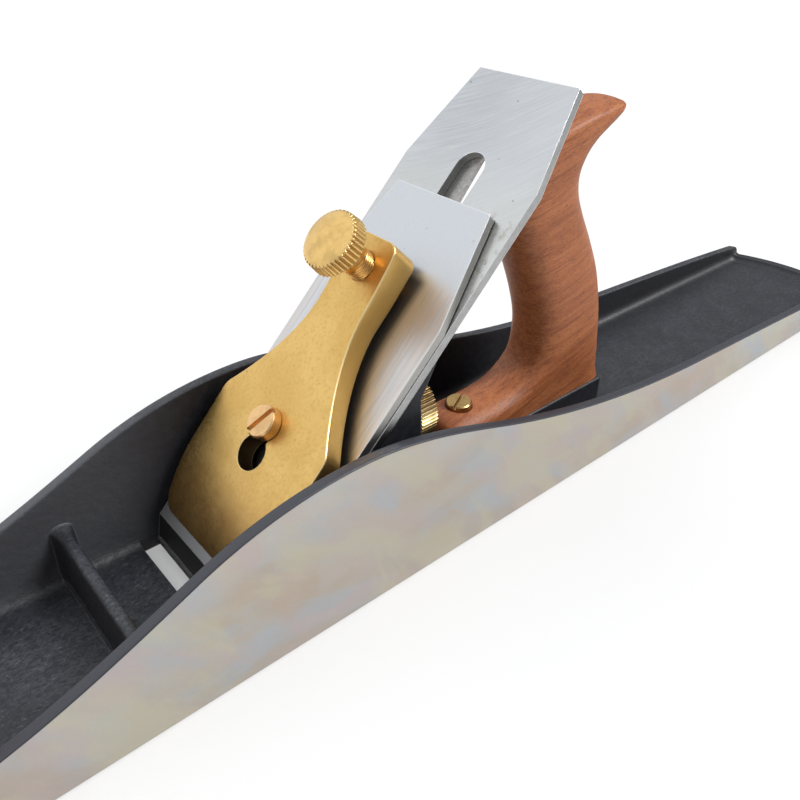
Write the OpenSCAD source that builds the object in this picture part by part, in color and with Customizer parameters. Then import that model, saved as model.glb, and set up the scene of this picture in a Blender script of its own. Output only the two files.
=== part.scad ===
// Long metal bench plane with a bronze lever cap held by a knurled thumbscrew.
// X points to the toe, Y to the left side, Z up; the origin is under the middle of the sole.
// Most places along the sole are given from the blade line, where the front face of the
// cutting iron would meet the sole. Pieces on the bed use s, up the slope from that line,
// and h, square to the front face of the cutting iron.

/* [Body casting] */
// Length of the sole
sole_l = 559; // [540:1:580]
// Width of the sole over both cheeks
sole_w = 74.5; // [74:0.5:78]
// Thickness of the sole between the cheeks
sole_t = 4; // [3.5:0.1:4.5]
// Thickness of each cheek
cheek_t = 4; // [3.5:0.1:4.2]
// Distance from the toe back to the blade line
mouth_from_toe = 159.5; // [155:0.5:170]
// Height of the cheeks at their highest point
cheek_peak_h = 58; // [55:0.5:61]
// Height of the cheeks at the toe
toe_h = 14.1; // [12:0.1:16]
// Height of the cheeks at the heel
heel_h = 11.4; // [10:0.1:14]
// How far the middle of each end bows out past the corners of the sole
end_bow = 8.5; // [6:0.5:10]
// Height of the lips across the toe and the heel
end_lip_h = 6.5; // [6:0.1:7.5]
// Radius of the top corners where the cheeks end
end_corner_r = 3.5; // [2.5:0.5:4]
// Radius where the floor meets the cheeks
floor_r = 4.5; // [3:0.5:6]
// Thickness of the toe and heel lips
lip_t = 5; // [4:0.5:8]
// Distance from the blade line forward to the front edge of the mouth
mouth_front = 0.15; // [0.1:0.05:1]
// Height of the rib across the floor ahead of the mouth
rib_h = 24.5; // [16:0.5:26]
// Distance from the blade line forward to the middle of the rib
rib_from_mouth = 22.8; // [21:0.2:30]
// Thickness of the rib at its foot
rib_foot_t = 5.2; // [5:0.1:8]
// Thickness of the rib near its round top
rib_top_t = 4.4; // [4:0.1:5]

/* [Bed and irons] */
// Angle of the bed
bed_angle = 45; // [45:0.5:45.5]
// Width of the cutting iron
iron_w = 60; // [59:0.5:60.5]
// Thickness of the cutting iron
iron_t = 3; // [2.5:0.1:3.2]
// Length of the cutting iron
iron_l = 197.5; // [190:0.5:205]
// How far up the bed the cutting edge is drawn back at rest
drawn_back = 7.5; // [7.5:0.1:9]
// Width of the cutting iron across its top end
iron_top_w = 43; // [38:1:48]
// Length of the tapered top of the cutting iron
iron_taper_l = 36; // [30:1:42]
// Angle of the ground bevel
bevel_angle = 28; // [25:1:32]
// Width of the long slot in the cutting iron
iron_slot_w = 12; // [11.5:0.1:12.5]
// Distance from the top end of the iron to the round end of its slot
slot_from_top = 29; // [27:0.5:31]
// Length of the cap iron
cap_iron_l = 148.3; // [146:0.1:150]
// Thickness of the cap iron
cap_iron_t = 2.9; // [2.6:0.1:3]
// Width of the cap iron across its top end
cap_iron_top_w = 43.5; // [40:0.5:48]
// Length of the tapered top of the cap iron
cap_iron_taper_l = 39; // [34:0.5:42]
// Height of the hump at the lower end of the cap iron
hump_h = 5; // [4.5:0.1:5.1]
// Distance from the cutting edge up to the edge of the cap iron
cap_iron_back = 1.5; // [0.5:0.1:2]

/* [Lever cap] */
// Thickness of the lever cap at its screw
lever_cap_t = 7.2; // [7:0.1:7.6]
// Greatest width of the lever cap
lever_cap_w = 57.4; // [54:0.1:59]
// Width of the narrow neck of the lever cap
lever_neck_w = 21.4; // [19:0.1:23]
// Height of the lower end of the lever cap up the bed
lever_low_s = 20.5; // [20.5:0.1:21.5]
// Height of the shoulders of the lever cap up the bed
lever_shoulder_s = 69.5; // [67:0.5:72]
// Height of the top end of the lever cap up the bed
lever_top_s = 133.5; // [132:0.5:136]
// How far the top end of the lever cap sweeps up off its straight face
lever_sweep = 2.8; // [1:0.1:3.5]
// Height of the lever cap screw up the bed
lever_screw_s = 66.2; // [65.5:0.1:67]
// Diameter of the head of the lever cap screw
lever_screw_head_d = 11.2; // [10.6:0.1:11.4]
// Thickness of the head of the lever cap screw
lever_screw_head_t = 3.9; // [3:0.1:4.5]
// Height of the thumbscrew up the bed
thumb_s = 123.5; // [122:0.5:124]
// Diameter of the threaded stem of the thumbscrew
thumb_stem_d = 10; // [9:0.1:11]
// Diameter of the knurled knob of the thumbscrew
thumb_knob_d = 20.4; // [18:0.1:21]
// Height of the knob of the thumbscrew
thumb_knob_h = 7.6; // [7:0.1:9]
// Length of stem between the lever cap and the knob
thumb_neck_l = 11.5; // [10:0.5:14]

/* [Frog and adjusters] */
// Width of the frog
frog_w = 54; // [52:0.5:56]
// Height of the frog seat above the sole
seat_h = 14; // [13.5:0.1:14.5]
// Thickness of the sloping face plate of the frog
face_t = 6.5; // [6:0.1:7]
// Thickness of the side webs of the frog
frog_web_t = 4.5; // [4:0.1:5]
// Height of the top of the frog up the bed
frog_top_s = 113; // [112.5:0.5:115]
// Height of the depth adjusting stud above the sole
stud_z = 39; // [38.5:0.1:40]
// Diameter of the depth adjusting stud
stud_d = 7.2; // [6.5:0.1:7.6]
// Diameter of the knurled depth wheel
wheel_d = 26.6; // [25:0.1:27]
// Width of the knurled rim of the depth wheel
wheel_w = 7.4; // [6.5:0.1:8]
// Distance from the blade line back to the groove of the depth nut
groove_back = 81.8; // [81.7:0.1:82]
// Diameter of the pin that the Y lever turns on
pin_d = 5; // [4.5:0.1:5.4]
// Height of the pivot of the lateral lever up the bed
lateral_s = 107.5; // [107:0.1:108]
// Distance from the lateral pivot down to the roller
roller_offset = 8.5; // [8.5:0.1:8.6]
// Diameter of the frog screws
frog_screw_d = 6; // [5:0.1:6.4]
// Distance of each frog screw from the middle
frog_screw_y = 17; // [16.8:0.1:17.2]
// How far the frog can move back from its foremost place
frog_travel = 2; // [1:0.1:2]

/* [Handles] */
// Height of the raised platform under the rear handle
platform_h = 16; // [15:0.5:17]
// Thickness of the rear handle
tote_w = 24; // [22:0.5:26]
// Depth over which the upper edges of the rear handle's foot are rounded
tote_edge_r = 8; // [5:0.5:10]
// Diameter of the front knob
knob_d = 41; // [38:0.5:44]
// Height of the front knob
knob_h = 58; // [52:0.5:64]
// Distance from the blade line forward to the front knob
knob_from_mouth = 95; // [85:1:105]
// Diameter of the rods through both handles
rod_d = 6; // [5:0.1:6.5]
// Diameter of the brass nuts on both rods
brass_nut_d = 12.4; // [12:0.1:13]

/* [Hidden] */
$fn = 64;

// Clearances: between flat faces that slide, round a turning shaft, and round a loose piece
seat_gap = 0.05;
running = 0.05;
loose = 0.3;
thread_fit = 0.02;
eps = 0.01;

blade_x = sole_l / 2 - mouth_from_toe;
toe_x = mouth_from_toe;
heel_x = mouth_from_toe - sole_l;
inner_w = sole_w - 2 * cheek_t;

// Both ends are arcs in plan, and the cheeks end where the arc crosses their inner faces
bow_r = (end_bow * end_bow + sole_w * sole_w / 4) / (2 * end_bow);
cheek_end_in = bow_r - sqrt(bow_r * bow_r - inner_w * inner_w / 4);
cheek_toe_x = toe_x - cheek_end_in - end_corner_r;
cheek_heel_x = heel_x + cheek_end_in + end_corner_r;

// Heights over the front face of the cutting iron
bed_h = -iron_t - seat_gap;
cap_low_h = 0.45;
cap_top_h = cap_low_h + cap_iron_t;
edge_s = drawn_back;
cap_edge_s = edge_s + cap_iron_back;
iron_top_s = edge_s + iron_l;
cap_iron_top_s = cap_edge_s + cap_iron_l;
hump_l = 9.5;
hump_front_l = 7.6;

// The lever cap's face lies a little steeper than the irons and sweeps up at its top end
lever_tilt = 1.72;
lever_face_h = 13;
lever_sweep_s = 95;
lever_under_h = lever_face_h - lever_cap_t;

// Screw and slot places on the bed
cap_screw_s = edge_s + 38.5;
cap_screw_d = 8;
cap_screw_head_d = 17;
cap_screw_head_t = 3.4;
keyhole_s = lever_screw_s - 10.2;
keyhole_d = lever_screw_head_d + 0.8;
lever_screw_d = 6.4;

// Travel of the irons down the bed, and what drives it
depth_out = 7.8;
depth_back = 0.5;
window_s = 83;
window_l = 4.8;
window_w = 9.8;
y_mid_s = edge_s + window_s - (depth_out - depth_back) / 2;
y_pivot_h = -14.5;
y_contact_h = 1.8;
y_arm = y_contact_h - y_pivot_h;
y_rest_angle = (depth_out - depth_back) / 2 / y_arm * 180 / PI;
y_pivot_x = -y_mid_s * cos(bed_angle) + y_pivot_h * sin(bed_angle);
y_pivot_z = y_mid_s * sin(bed_angle) + y_pivot_h * cos(bed_angle);
fork_drop = y_pivot_z - stud_z;
groove_mid_x = -groove_back - 0.2 - fork_drop * (depth_out - depth_back) / 2 / y_arm;
groove_w = 4.4;
hub_d = 12;
core_d = 9.8;
flange_d = 14.4;
flange_t = 2;
stud_tip_x = -104.5;

// Lateral lever: thin strip with a round end at its pivot and at its roller. At rest it leans to
// the right side, until its roller meets one side of the iron's slot
lateral_t = 1.5;
lateral_w = 9;
lateral_d = 13;
lateral_low_d = 9;
lateral_pin_d = 3.4;
lateral_head_d = 5.2;
lateral_top_gap = 26;
lateral_lean = 4;
pivot_depth = 4.2;
roller_d = iron_slot_w - 1.4;
roller_pin_d = 5;

// Frog casting: foot, back and hollow
frog_foot_t = 5;
frog_back_x = -70;
frog_front_x = -(seat_h * cos(bed_angle) - bed_h) / sin(bed_angle);
frog_screw_x = -38;
frog_screw_low = 3.5;
frog_screw_head_d = 10.5;
frog_screw_head_h = 4;
frog_screw_slot_w = 1.4;
frog_screw_slot_depth = 1.8;
frog_washer_d = 11.6;
frog_washer_t = 1.4;
frog_washer_room_d = 12.4;
clip_z = 20;
clip_t = 1.6;
adjust_z = seat_h - 5;
adjust_d = 5;
seat_back_x = -66;
seat_front_x = frog_front_x - frog_travel - 0.4;

// Rear handle: places along the sole from the blade line
tote_front_x = -107.5;
tote_back_x = -198;
tote_screw_x = -121.5;
tote_screw_seat = 10.4;
tote_base_z = platform_h + seat_gap;
rod_foot_x = -182;
rod_top_x = -148.5;
rod_top_z = 122;
toe_head_d = 10.4;
rod_lean = atan2(rod_top_x - rod_foot_x, rod_top_z - platform_h);
rod_l = norm([rod_top_x - rod_foot_x, rod_top_z - platform_h]);

// Front handle
boss_h = 9;

iron_color = "gainsboro";
cast_color = "#2b2d33";
steel_color = "silver";
brass_color = "#c9a24f";
bronze_color = "#d3b068";
wood_color = "#9a5a36";

module at_blade() {
    translate([blade_x, 0, 0]) children();
}

// Places children on the bed: x goes up the slope, z square to the front face of the iron
module on_bed() {
    at_blade() rotate([0, bed_angle, 0]) rotate([0, 0, 180]) children();
}

// Extrudes an outline drawn as [x, z] across the plane
module across(w) {
    rotate([90, 0, 0]) linear_extrude(w, center = true) children();
}

// A cylinder along X from x0 to x1
module rod_x(x0, x1, d) {
    translate([x0, 0, 0]) rotate([0, 90, 0]) cylinder(h = x1 - x0, d = d);
}

// A screwdriver slot to cut from a head whose top is at z = 0
module driver_slot(d, w, depth) {
    translate([-d, -w / 2, -depth]) cube([2 * d, w, depth + 1]);
}

// A slot with round ends along X
module round_slot(x0, x1, w, z0, z1) {
    translate([x0, 0, z0]) cylinder(h = z1 - z0, d = w);
    translate([x1, 0, z0]) cylinder(h = z1 - z0, d = w);
    translate([x0, -w / 2, z0]) cube([x1 - x0, w, z1 - z0]);
}

// Smooth height between two knots, each [x, height, slope]
function hermite(a, b, t) = let (d = b[0] - a[0])
    [a[0] + d * t,
     (2 * t * t * t - 3 * t * t + 1) * a[1] + (t * t * t - 2 * t * t + t) * d * a[2]
     + (3 * t * t - 2 * t * t * t) * b[1] + (t * t * t - t * t) * d * b[2]];

function smooth_path(knots, steps) = concat(
    [for (i = [0 : len(knots) - 2], k = [0 : steps - 1]) hermite(knots[i], knots[i + 1], k / steps)],
    [[knots[len(knots) - 1][0], knots[len(knots) - 1][1]]]);

// Curve through points of any number of values, with the ends held
function through(p, i, t) = let (
    a = p[max(i - 1, 0)], b = p[i], c = p[i + 1], d = p[min(i + 2, len(p) - 1)])
    (2 * b + (c - a) * t + (2 * a - 5 * b + 4 * c - d) * t * t
     + (3 * b - a - 3 * c + d) * t * t * t) / 2;

function curve(p, steps) = concat(
    [for (i = [0 : len(p) - 2], k = [0 : steps - 1]) through(p, i, k / steps)], [p[len(p) - 1]]);

// Top edge of the cheeks from toe to heel, as heights over the sole
cheek_knots = [[cheek_toe_x, toe_h, -0.03],
               [57, cheek_peak_h * 0.455, -0.3],
               [8, cheek_peak_h * 0.798, -0.46],
               [-47, cheek_peak_h, 0],
               [-104, cheek_peak_h * 0.783, 0.337],
               [-234, cheek_peak_h * 0.372, 0.058],
               [cheek_heel_x, heel_h, 0.091]];
cheek_top = smooth_path(cheek_knots, 9);

// Round top corner at the end of the cheeks, from its centre
function end_corner(x, z, angles) = [for (q = angles) [x + end_corner_r * cos(q), z + end_corner_r * sin(q)]];

// Side view of the casting: low lips at both ends and the cheeks between them
module side_outline() {
    polygon(concat(
        [[heel_x, 0], [toe_x, 0], [toe_x, end_lip_h], [cheek_toe_x + end_corner_r, end_lip_h]],
        end_corner(cheek_toe_x, toe_h - end_corner_r, [0 : 15 : 75]),
        cheek_top,
        end_corner(cheek_heel_x, heel_h - end_corner_r, [105 : 15 : 180]),
        [[cheek_heel_x - end_corner_r, end_lip_h], [heel_x, end_lip_h]]));
}

// Plan of the casting with a bowed end at the toe and at the heel
module plan_block() {
    inset = end_bow + 10;
    translate([heel_x + inset, -sole_w, -1]) cube([sole_l - 2 * inset, 2 * sole_w, cheek_peak_h + 2]);
    for (x = [heel_x + bow_r, toe_x - bow_r]) translate([x, 0, -1]) cylinder(h = cheek_peak_h + 2, r = bow_r);
}

// Hollow between the cheeks: a trough with round corners, whose ends follow the bow of the
// sole, and a gap over the lip at each end
module trough() {
    top = cheek_peak_h + 1;
    r = bow_r - lip_t;
    intersection() {
        translate([heel_x, 0, 0]) rotate([90, 0, 90]) linear_extrude(sole_l)
            trough_section(inner_w, top, floor_r);
        union() {
            translate([heel_x + bow_r, -sole_w, sole_t]) cube([sole_l - 2 * bow_r, 2 * sole_w, top]);
            for (x = [heel_x + bow_r, toe_x - bow_r]) translate([x, 0, 0]) rotate_extrude() {
                translate([0, sole_t]) square([r - floor_r, top]);
                translate([0, sole_t + floor_r]) square([r, top]);
                translate([r - floor_r, sole_t + floor_r]) circle(floor_r);
            }
        }
    }
    for (x = [heel_x - 1, cheek_toe_x - lip_t])
        translate([x, -inner_w / 2, end_lip_h]) cube([cheek_end_in + end_corner_r + lip_t + 1, inner_w, top]);
}

module trough_section(w, top, r) {
    translate([-w / 2, sole_t + r]) square([w, top - sole_t - r]);
    translate([-w / 2 + r, sole_t]) square([w - 2 * r, r + eps]);
    for (side = [-1, 1]) translate([side * (w / 2 - r), sole_t + r]) circle(r);
}

module cross_rib() {
    top_r = rib_top_t / 2;
    translate([rib_from_mouth, 0, 0]) {
        across(inner_w + 2 * eps) {
            polygon([[-rib_foot_t / 2, sole_t - eps], [rib_foot_t / 2, sole_t - eps],
                     [rib_top_t / 2, rib_h - top_r], [-rib_top_t / 2, rib_h - top_r]]);
            translate([0, rib_h - top_r]) circle(top_r);
        }
        for (m = [0, 1]) mirror([0, m, 0]) rib_gusset();
    }
}

// Web that widens the rib where it meets a cheek
module rib_gusset() {
    reach = 6;
    wide = rib_top_t / 2 + 2.6;
    slim = rib_top_t / 2 - 0.5;
    translate([0, inner_w / 2 + eps, sole_t]) linear_extrude(rib_h + 1.2 - sole_t)
        polygon([[-wide, 0], [wide, 0], [slim, -reach], [-slim, -reach]]);
}

module knob_boss() {
    translate([knob_from_mouth, 0, sole_t - eps]) cylinder(h = boss_h - sole_t + eps, d = knob_d + 2);
}

module tote_platform() {
    r = 3;
    x0 = tote_back_x - 0.5;
    x1 = tote_front_x + 0.5;
    w = tote_w + 1;
    translate([0, 0, sole_t - eps]) linear_extrude(platform_h - sole_t + eps) {
        translate([x0 + r, -w / 2]) square([x1 - x0 - 2 * r, w]);
        translate([x0, -w / 2 + r]) square([x1 - x0, w - 2 * r]);
        for (x = [x0 + r, x1 - r], y = [-w / 2 + r, w / 2 - r]) translate([x, y]) circle(r);
    }
}

// Sloping front of the frog seat, which the back of the mouth carries on down to the sole
function seat_front_at(z) = seat_front_x + (seat_h - z) / tan(bed_angle);

// Raised seat that carries the frog, with its front face sloped like the bed
module frog_seat() {
    across(frog_w - 2) polygon([[seat_front_at(sole_t - eps), sole_t - eps], [seat_front_x, seat_h],
                                [seat_back_x, seat_h], [seat_back_x, sole_t - eps]]);
}

module mouth_cut() {
    w = iron_w + 4.4;
    top = sole_t + 2;
    across(w) polygon([[mouth_front, -1], [mouth_front, top], [seat_front_at(top), top],
                       [seat_front_at(-1), -1]]);
}

module body_casting() {
    color(cast_color) at_blade() difference() {
        union() {
            difference() {
                intersection() {
                    across(sole_w) side_outline();
                    plan_block();
                }
                trough();
            }
            cross_rib();
            knob_boss();
            tote_platform();
            frog_seat();
        }
        mouth_cut();
        // Threaded holes for the frog screws and the frog adjusting screw
        for (side = [-1, 1]) translate([frog_screw_x, side * frog_screw_y, 3])
            cylinder(h = seat_h, d = frog_screw_d + 2 * thread_fit);
        translate([0, 0, adjust_z]) rod_x(seat_back_x - 16, seat_back_x + 1, adjust_d + 2 * running);
        translate([0, 0, adjust_z]) rod_x(seat_back_x, seat_back_x + 12, adjust_d + 2 * running);
        // Threaded holes for both handle rods and the toe screw
        tote_rod_axis() translate([0, 0, -10]) cylinder(h = 12, d = rod_d + 2 * thread_fit);
        translate([tote_screw_x, 0, 5]) cylinder(h = platform_h, d = 5 + 2 * thread_fit);
        translate([knob_from_mouth, 0, 1.5]) cylinder(h = boss_h, d = rod_d + 2 * thread_fit);
    }
}

module frog_outline() {
    top = [-frog_top_s * cos(bed_angle) + bed_h * sin(bed_angle),
           frog_top_s * sin(bed_angle) + bed_h * cos(bed_angle)];
    foot = seat_h + seat_gap;
    polygon([[frog_front_x, foot], [frog_back_x, foot], [frog_back_x, foot + 14],
             [frog_back_x - 6.5, top[1] - 36], [frog_back_x - 7.6, top[1] - 29],
             [frog_back_x - 7.4, top[1] - 15.7], [top[0] + 0.4, top[1] - 7.7],
             [top[0] - 2, top[1] - 3], [top[0] - 1.8, top[1]], top]);
}

module frog_hollow() {
    foot = seat_h + seat_gap + frog_foot_t;
    plate = (bed_h - face_t) / sin(bed_angle);
    start = plate - foot / tan(bed_angle);
    across(frog_w - 2 * frog_web_t) polygon([[start, foot], [-120, foot],
                                             [-120, (-120 - plate) * -tan(bed_angle)]]);
}

function nut_front_x() = -groove_back + groove_w / 2 + flange_t;

// Middle web and round boss that hold the depth stud, clear of the depth nut
module stud_boss() {
    boss_d = 14;
    back = nut_front_x() + 0.7;
    plate = (bed_h - face_t) / sin(bed_angle);
    foot = seat_h + seat_gap + frog_foot_t;
    translate([0, 0, stud_z]) rod_x(plate - stud_z - 3, 0, boss_d);
    translate([0, 0, stud_z]) rod_x(back, plate - stud_z, boss_d);
    across(8) polygon([[plate - foot + 1, foot - eps], [frog_back_x, foot - eps],
                       [frog_back_x, clip_z + 8], [back, stud_z - 6], [back + 3, stud_z],
                       [plate - stud_z + 1, stud_z]]);
}

module pivot_ears() {
    ear_t = 3.6;
    ear_y = flange_d / 2 + 2.3;
    ear_r = 5.5;
    for (side = [-1, 1]) translate([0, side * (ear_y + ear_t / 2), 0]) {
        translate([y_mid_s, 0, y_pivot_h]) rotate([90, 0, 0]) cylinder(h = ear_t, r = ear_r, center = true);
        translate([y_mid_s - ear_r, -ear_t / 2, y_pivot_h])
            cube([2 * ear_r, ear_t, bed_h - face_t - y_pivot_h + 1]);
    }
}

module frog() {
    slot_x = frog_travel + 0.4;
    color(cast_color) difference() {
        union() {
            at_blade() difference() {
                across(frog_w) frog_outline();
                frog_hollow();
            }
            at_blade() intersection() {
                stud_boss();
                across(frog_w) frog_outline_behind();
            }
            on_bed() pivot_ears();
        }
        on_bed() {
            // Recess for the head of the cap iron screw
            round_slot(cap_screw_s - depth_out - 1, cap_screw_s + depth_back + 1,
                       cap_screw_head_d + 2 * loose, bed_h - cap_screw_head_t - 1, bed_h + 1);
            // Slot for the upper arm of the Y lever
            translate([y_mid_s - 6, -4.6, bed_h - face_t - 1]) cube([12, 9.2, face_t + 3]);
            // Threaded hole for the lever cap screw
            translate([lever_screw_s, 0, bed_h - 12]) cylinder(h = 18, d = lever_screw_d + 2 * thread_fit);
            // Recess for the lateral lever and hole for its pivot
            lateral_recess();
            translate([lateral_s, 0, bed_h - pivot_depth - loose])
                cylinder(h = 12, d = lateral_pin_d + 2 * thread_fit);
            translate([y_mid_s, 0, y_pivot_h]) rotate([90, 0, 0])
                cylinder(h = 40, d = pin_d + 2 * thread_fit, center = true);
        }
        at_blade() {
            // Slotted holes for the frog screws, with room over them for their heads
            for (side = [-1, 1]) translate([0, side * frog_screw_y, 0]) {
                round_slot(frog_screw_x, frog_screw_x + slot_x, frog_screw_d + 2 * loose, 0, 60);
                round_slot(frog_screw_x, frog_screw_x + slot_x, frog_washer_room_d,
                           seat_h + seat_gap + frog_foot_t, 60);
            }
            translate([0, 0, stud_z]) rod_x(-90, -58, stud_d + 2 * thread_fit);
            translate([0, 0, clip_z]) rod_x(frog_back_x - 4, frog_back_x + 9, 4 + 2 * thread_fit);
        }
    }
}

// Everything behind the face of the frog, to trim what is added inside it
module frog_outline_behind() {
    face = bed_h / sin(bed_angle);
    polygon([[face, 0], [-90, 0], [-90, 90 + face], [-90, 90 + face]]);
}

// Turns children round the pivot of the lateral lever to where it leans at rest
module leaning() {
    translate([lateral_s, 0, 0]) rotate([0, 0, lateral_lean]) translate([-lateral_s, 0, 0]) children();
}

// Path of the lateral lever in its recess, wide enough for its swing to both sides
module lateral_recess() {
    depth = lateral_t + 0.25;
    swing_room = 2.6;
    translate([lateral_s, 0, bed_h - depth]) cylinder(h = depth + 1, d = lateral_d + 2);
    translate([lateral_s - roller_offset, 0, bed_h - depth]) cylinder(h = depth + 1, d = lateral_low_d + 3);
    translate([lateral_s, -lateral_w / 2 - swing_room, bed_h - depth])
        cube([20, lateral_w + 2 * swing_room, depth + 1]);
    translate([lateral_s - roller_offset, -lateral_low_d / 2 - 1.5, bed_h - depth])
        cube([roller_offset, lateral_low_d + 3, depth + 1]);
}

module frog_screws() {
    foot_top = seat_h + seat_gap + frog_foot_t;
    washer_top = foot_top + frog_washer_t;
    color(steel_color) at_blade() for (side = [-1, 1]) translate([frog_screw_x, side * frog_screw_y, 0]) {
        translate([0, 0, frog_screw_low])
            cylinder(h = washer_top - frog_screw_low, d = frog_screw_d);
        difference() {
            translate([0, 0, washer_top]) cylinder(h = frog_screw_head_h, d = frog_screw_head_d);
            translate([0, 0, washer_top + frog_screw_head_h])
                driver_slot(frog_washer_d, frog_screw_slot_w, frog_screw_slot_depth);
        }
    }
}

module frog_washers() {
    foot_top = seat_h + seat_gap + frog_foot_t;
    color(steel_color) at_blade() for (side = [-1, 1])
        translate([frog_screw_x, side * frog_screw_y, foot_top + seat_gap]) difference() {
            cylinder(h = frog_washer_t - 2 * seat_gap, d = frog_washer_d);
            translate([0, 0, -1]) cylinder(h = frog_washer_t + 2, d = frog_screw_d + 2 * running);
        }
}

// Screw with a collar and a neck that the frog clip holds
module frog_adjusting_screw() {
    clip_x = frog_back_x - seat_gap;
    color(steel_color) at_blade() translate([0, 0, adjust_z]) difference() {
        union() {
            rod_x(seat_back_x - 2.8, seat_back_x + 9, adjust_d);
            rod_x(clip_x + 0.2, clip_x + 1.4, 8);
            rod_x(clip_x - clip_t - 0.4, clip_x + 0.4, 4);
            rod_x(clip_x - clip_t - 5.2, clip_x - clip_t - 0.2, 9);
        }
        translate([clip_x - clip_t - 5.2, 0, 0]) rotate([0, -90, 0]) driver_slot(9, 1.4, 1.8);
    }
}

// Small plate on the back of the frog whose fork holds the adjusting screw
module frog_clip() {
    w = 14;
    low_z = adjust_z - 4;
    top_z = clip_z + 6;
    color(steel_color) at_blade() translate([frog_back_x - seat_gap, 0, 0]) difference() {
        translate([-clip_t, -w / 2, low_z]) cube([clip_t, w, top_z - low_z]);
        translate([0, 0, adjust_z]) rod_x(-clip_t - 1, 1, 4.6);
        translate([-clip_t - 1, -2.3, low_z - 1]) cube([clip_t + 2, 4.6, adjust_z - low_z + 1]);
        translate([0, 0, clip_z]) rod_x(-clip_t - 1, 1, 4 + 2 * running);
    }
}

module frog_clip_screw() {
    head_x = frog_back_x - 2 * seat_gap - clip_t;
    color(steel_color) at_blade() translate([0, 0, clip_z]) difference() {
        union() {
            rod_x(head_x - eps, frog_back_x + 8, 4);
            rod_x(head_x - 2.4, head_x, 7.5);
        }
        translate([head_x - 2.4, 0, 0]) rotate([0, -90, 0]) driver_slot(8, 1.2, 1.2);
    }
}

module depth_stud() {
    color(steel_color) at_blade() translate([0, 0, stud_z]) rod_x(stud_tip_x, -60, stud_d);
}

// Grooved hub that runs on the stud and carries the fork of the Y lever
module depth_nut() {
    front = nut_front_x();
    back = -groove_back - groove_w / 2 - flange_t;
    color(brass_color) at_blade() translate([0, 0, stud_z]) difference() {
        union() {
            rod_x(back, front, core_d);
            rod_x(front - flange_t, front, flange_d);
            rod_x(back, back + flange_t, flange_d);
            rod_x(wheel_back_x() - 1.2, back + eps, hub_d);
        }
        rod_x(-120, -60, stud_d + 2 * running);
    }
}

function wheel_back_x() = -groove_back - 16.4;

// Knurled wheel on the hub, turned by a fingertip
module depth_wheel() {
    teeth = 54;
    tooth = 0.4;
    r = wheel_d / 2;
    back = wheel_back_x();
    flange_back = -groove_back - groove_w / 2 - flange_t - seat_gap;
    color(brass_color) at_blade() translate([0, 0, stud_z]) difference() {
        union() {
            translate([back, 0, 0]) rotate([0, 90, 0]) linear_extrude(wheel_w)
                polygon([for (i = [0 : 2 * teeth - 1]) let (q = i * 180 / teeth)
                    (r - (i % 2 == 0 ? 0 : tooth * 2)) * [cos(q), sin(q)]]);
            translate([back + wheel_w, 0, 0]) rotate([0, 90, 0])
                cylinder(h = flange_back - back - wheel_w, r1 = r - 1.4, r2 = flange_d / 2);
        }
        rod_x(-120, -60, hub_d + 2 * running);
        translate([back - 1, 0, 0]) rotate([0, 90, 0]) cylinder(h = 2, d = wheel_d - 8);
    }
}

module y_lever() {
    arm_w = 6.8;
    arm_t = 3.6;
    tip_r = 2;
    hub_r = 4.4;
    fork_y = flange_d / 2 + 0.4;
    fork_t = 1.8;
    fork_r = 1.7;
    fork_in = core_d / 2 + 0.3;
    hub_w = 2 * (fork_y + fork_t) - 0.4;
    fork_end = [groove_mid_x - y_pivot_x, stud_z - y_pivot_z];
    color(steel_color) at_blade() translate([y_pivot_x, 0, y_pivot_z]) rotate([0, -y_rest_angle, 0])
        difference() {
            union() {
                rotate([90, 0, 0]) cylinder(h = hub_w, r = hub_r, center = true);
                rotate([0, bed_angle, 0]) {
                    translate([-arm_t / 2, -arm_w / 2, 0]) cube([arm_t, arm_w, y_arm - 1]);
                    translate([0, 0, y_arm - 1]) rotate([90, 0, 0])
                        cylinder(h = arm_w, r = tip_r, center = true);
                }
                for (m = [0, 1]) mirror([0, m, 0]) {
                    translate([fork_end[0], fork_y + fork_t / 2, fork_end[1]]) rotate([90, 0, 0])
                        cylinder(h = fork_y + fork_t / 2 - fork_in, r = fork_r);
                    rotate([0, atan2(fork_end[0], fork_end[1]), 0])
                        translate([-fork_r + 0.3, fork_y, 0])
                            cube([2 * fork_r - 0.6, fork_t, norm(fork_end) + 0.8]);
                }
            }
            rotate([90, 0, 0]) cylinder(h = 40, d = pin_d + 2 * running, center = true);
        }
}

module y_lever_pin() {
    color(steel_color) on_bed() translate([y_mid_s, 0, y_pivot_h]) rotate([90, 0, 0])
        cylinder(h = 26.4, d = pin_d, center = true);
}

// Flat lever under the iron, with a tab bent back at its top for the thumb
module lateral_lever() {
    t = lateral_t;
    low_h = bed_h - t - 0.1;
    top_s = iron_top_s - lateral_top_gap;
    tab_l = 3.5;
    color(steel_color) on_bed() leaning() difference() {
        union() {
            translate([lateral_s, 0, low_h]) cylinder(h = t, d = lateral_d);
            translate([lateral_s - roller_offset, 0, low_h]) {
                cylinder(h = t, d = lateral_low_d);
                translate([0, -lateral_low_d / 2, 0]) cube([roller_offset, lateral_low_d, t]);
                cylinder(h = bed_h + 2.2 - low_h, d = roller_pin_d);
            }
            translate([lateral_s, -lateral_w / 2, low_h]) cube([top_s - lateral_s, lateral_w, t]);
            translate([top_s - t, -lateral_w / 2, low_h - tab_l]) cube([t, lateral_w, tab_l + eps]);
        }
        translate([lateral_s, 0, low_h - 1]) cylinder(h = t + 2, d = lateral_pin_d + 2 * running);
    }
}

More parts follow.
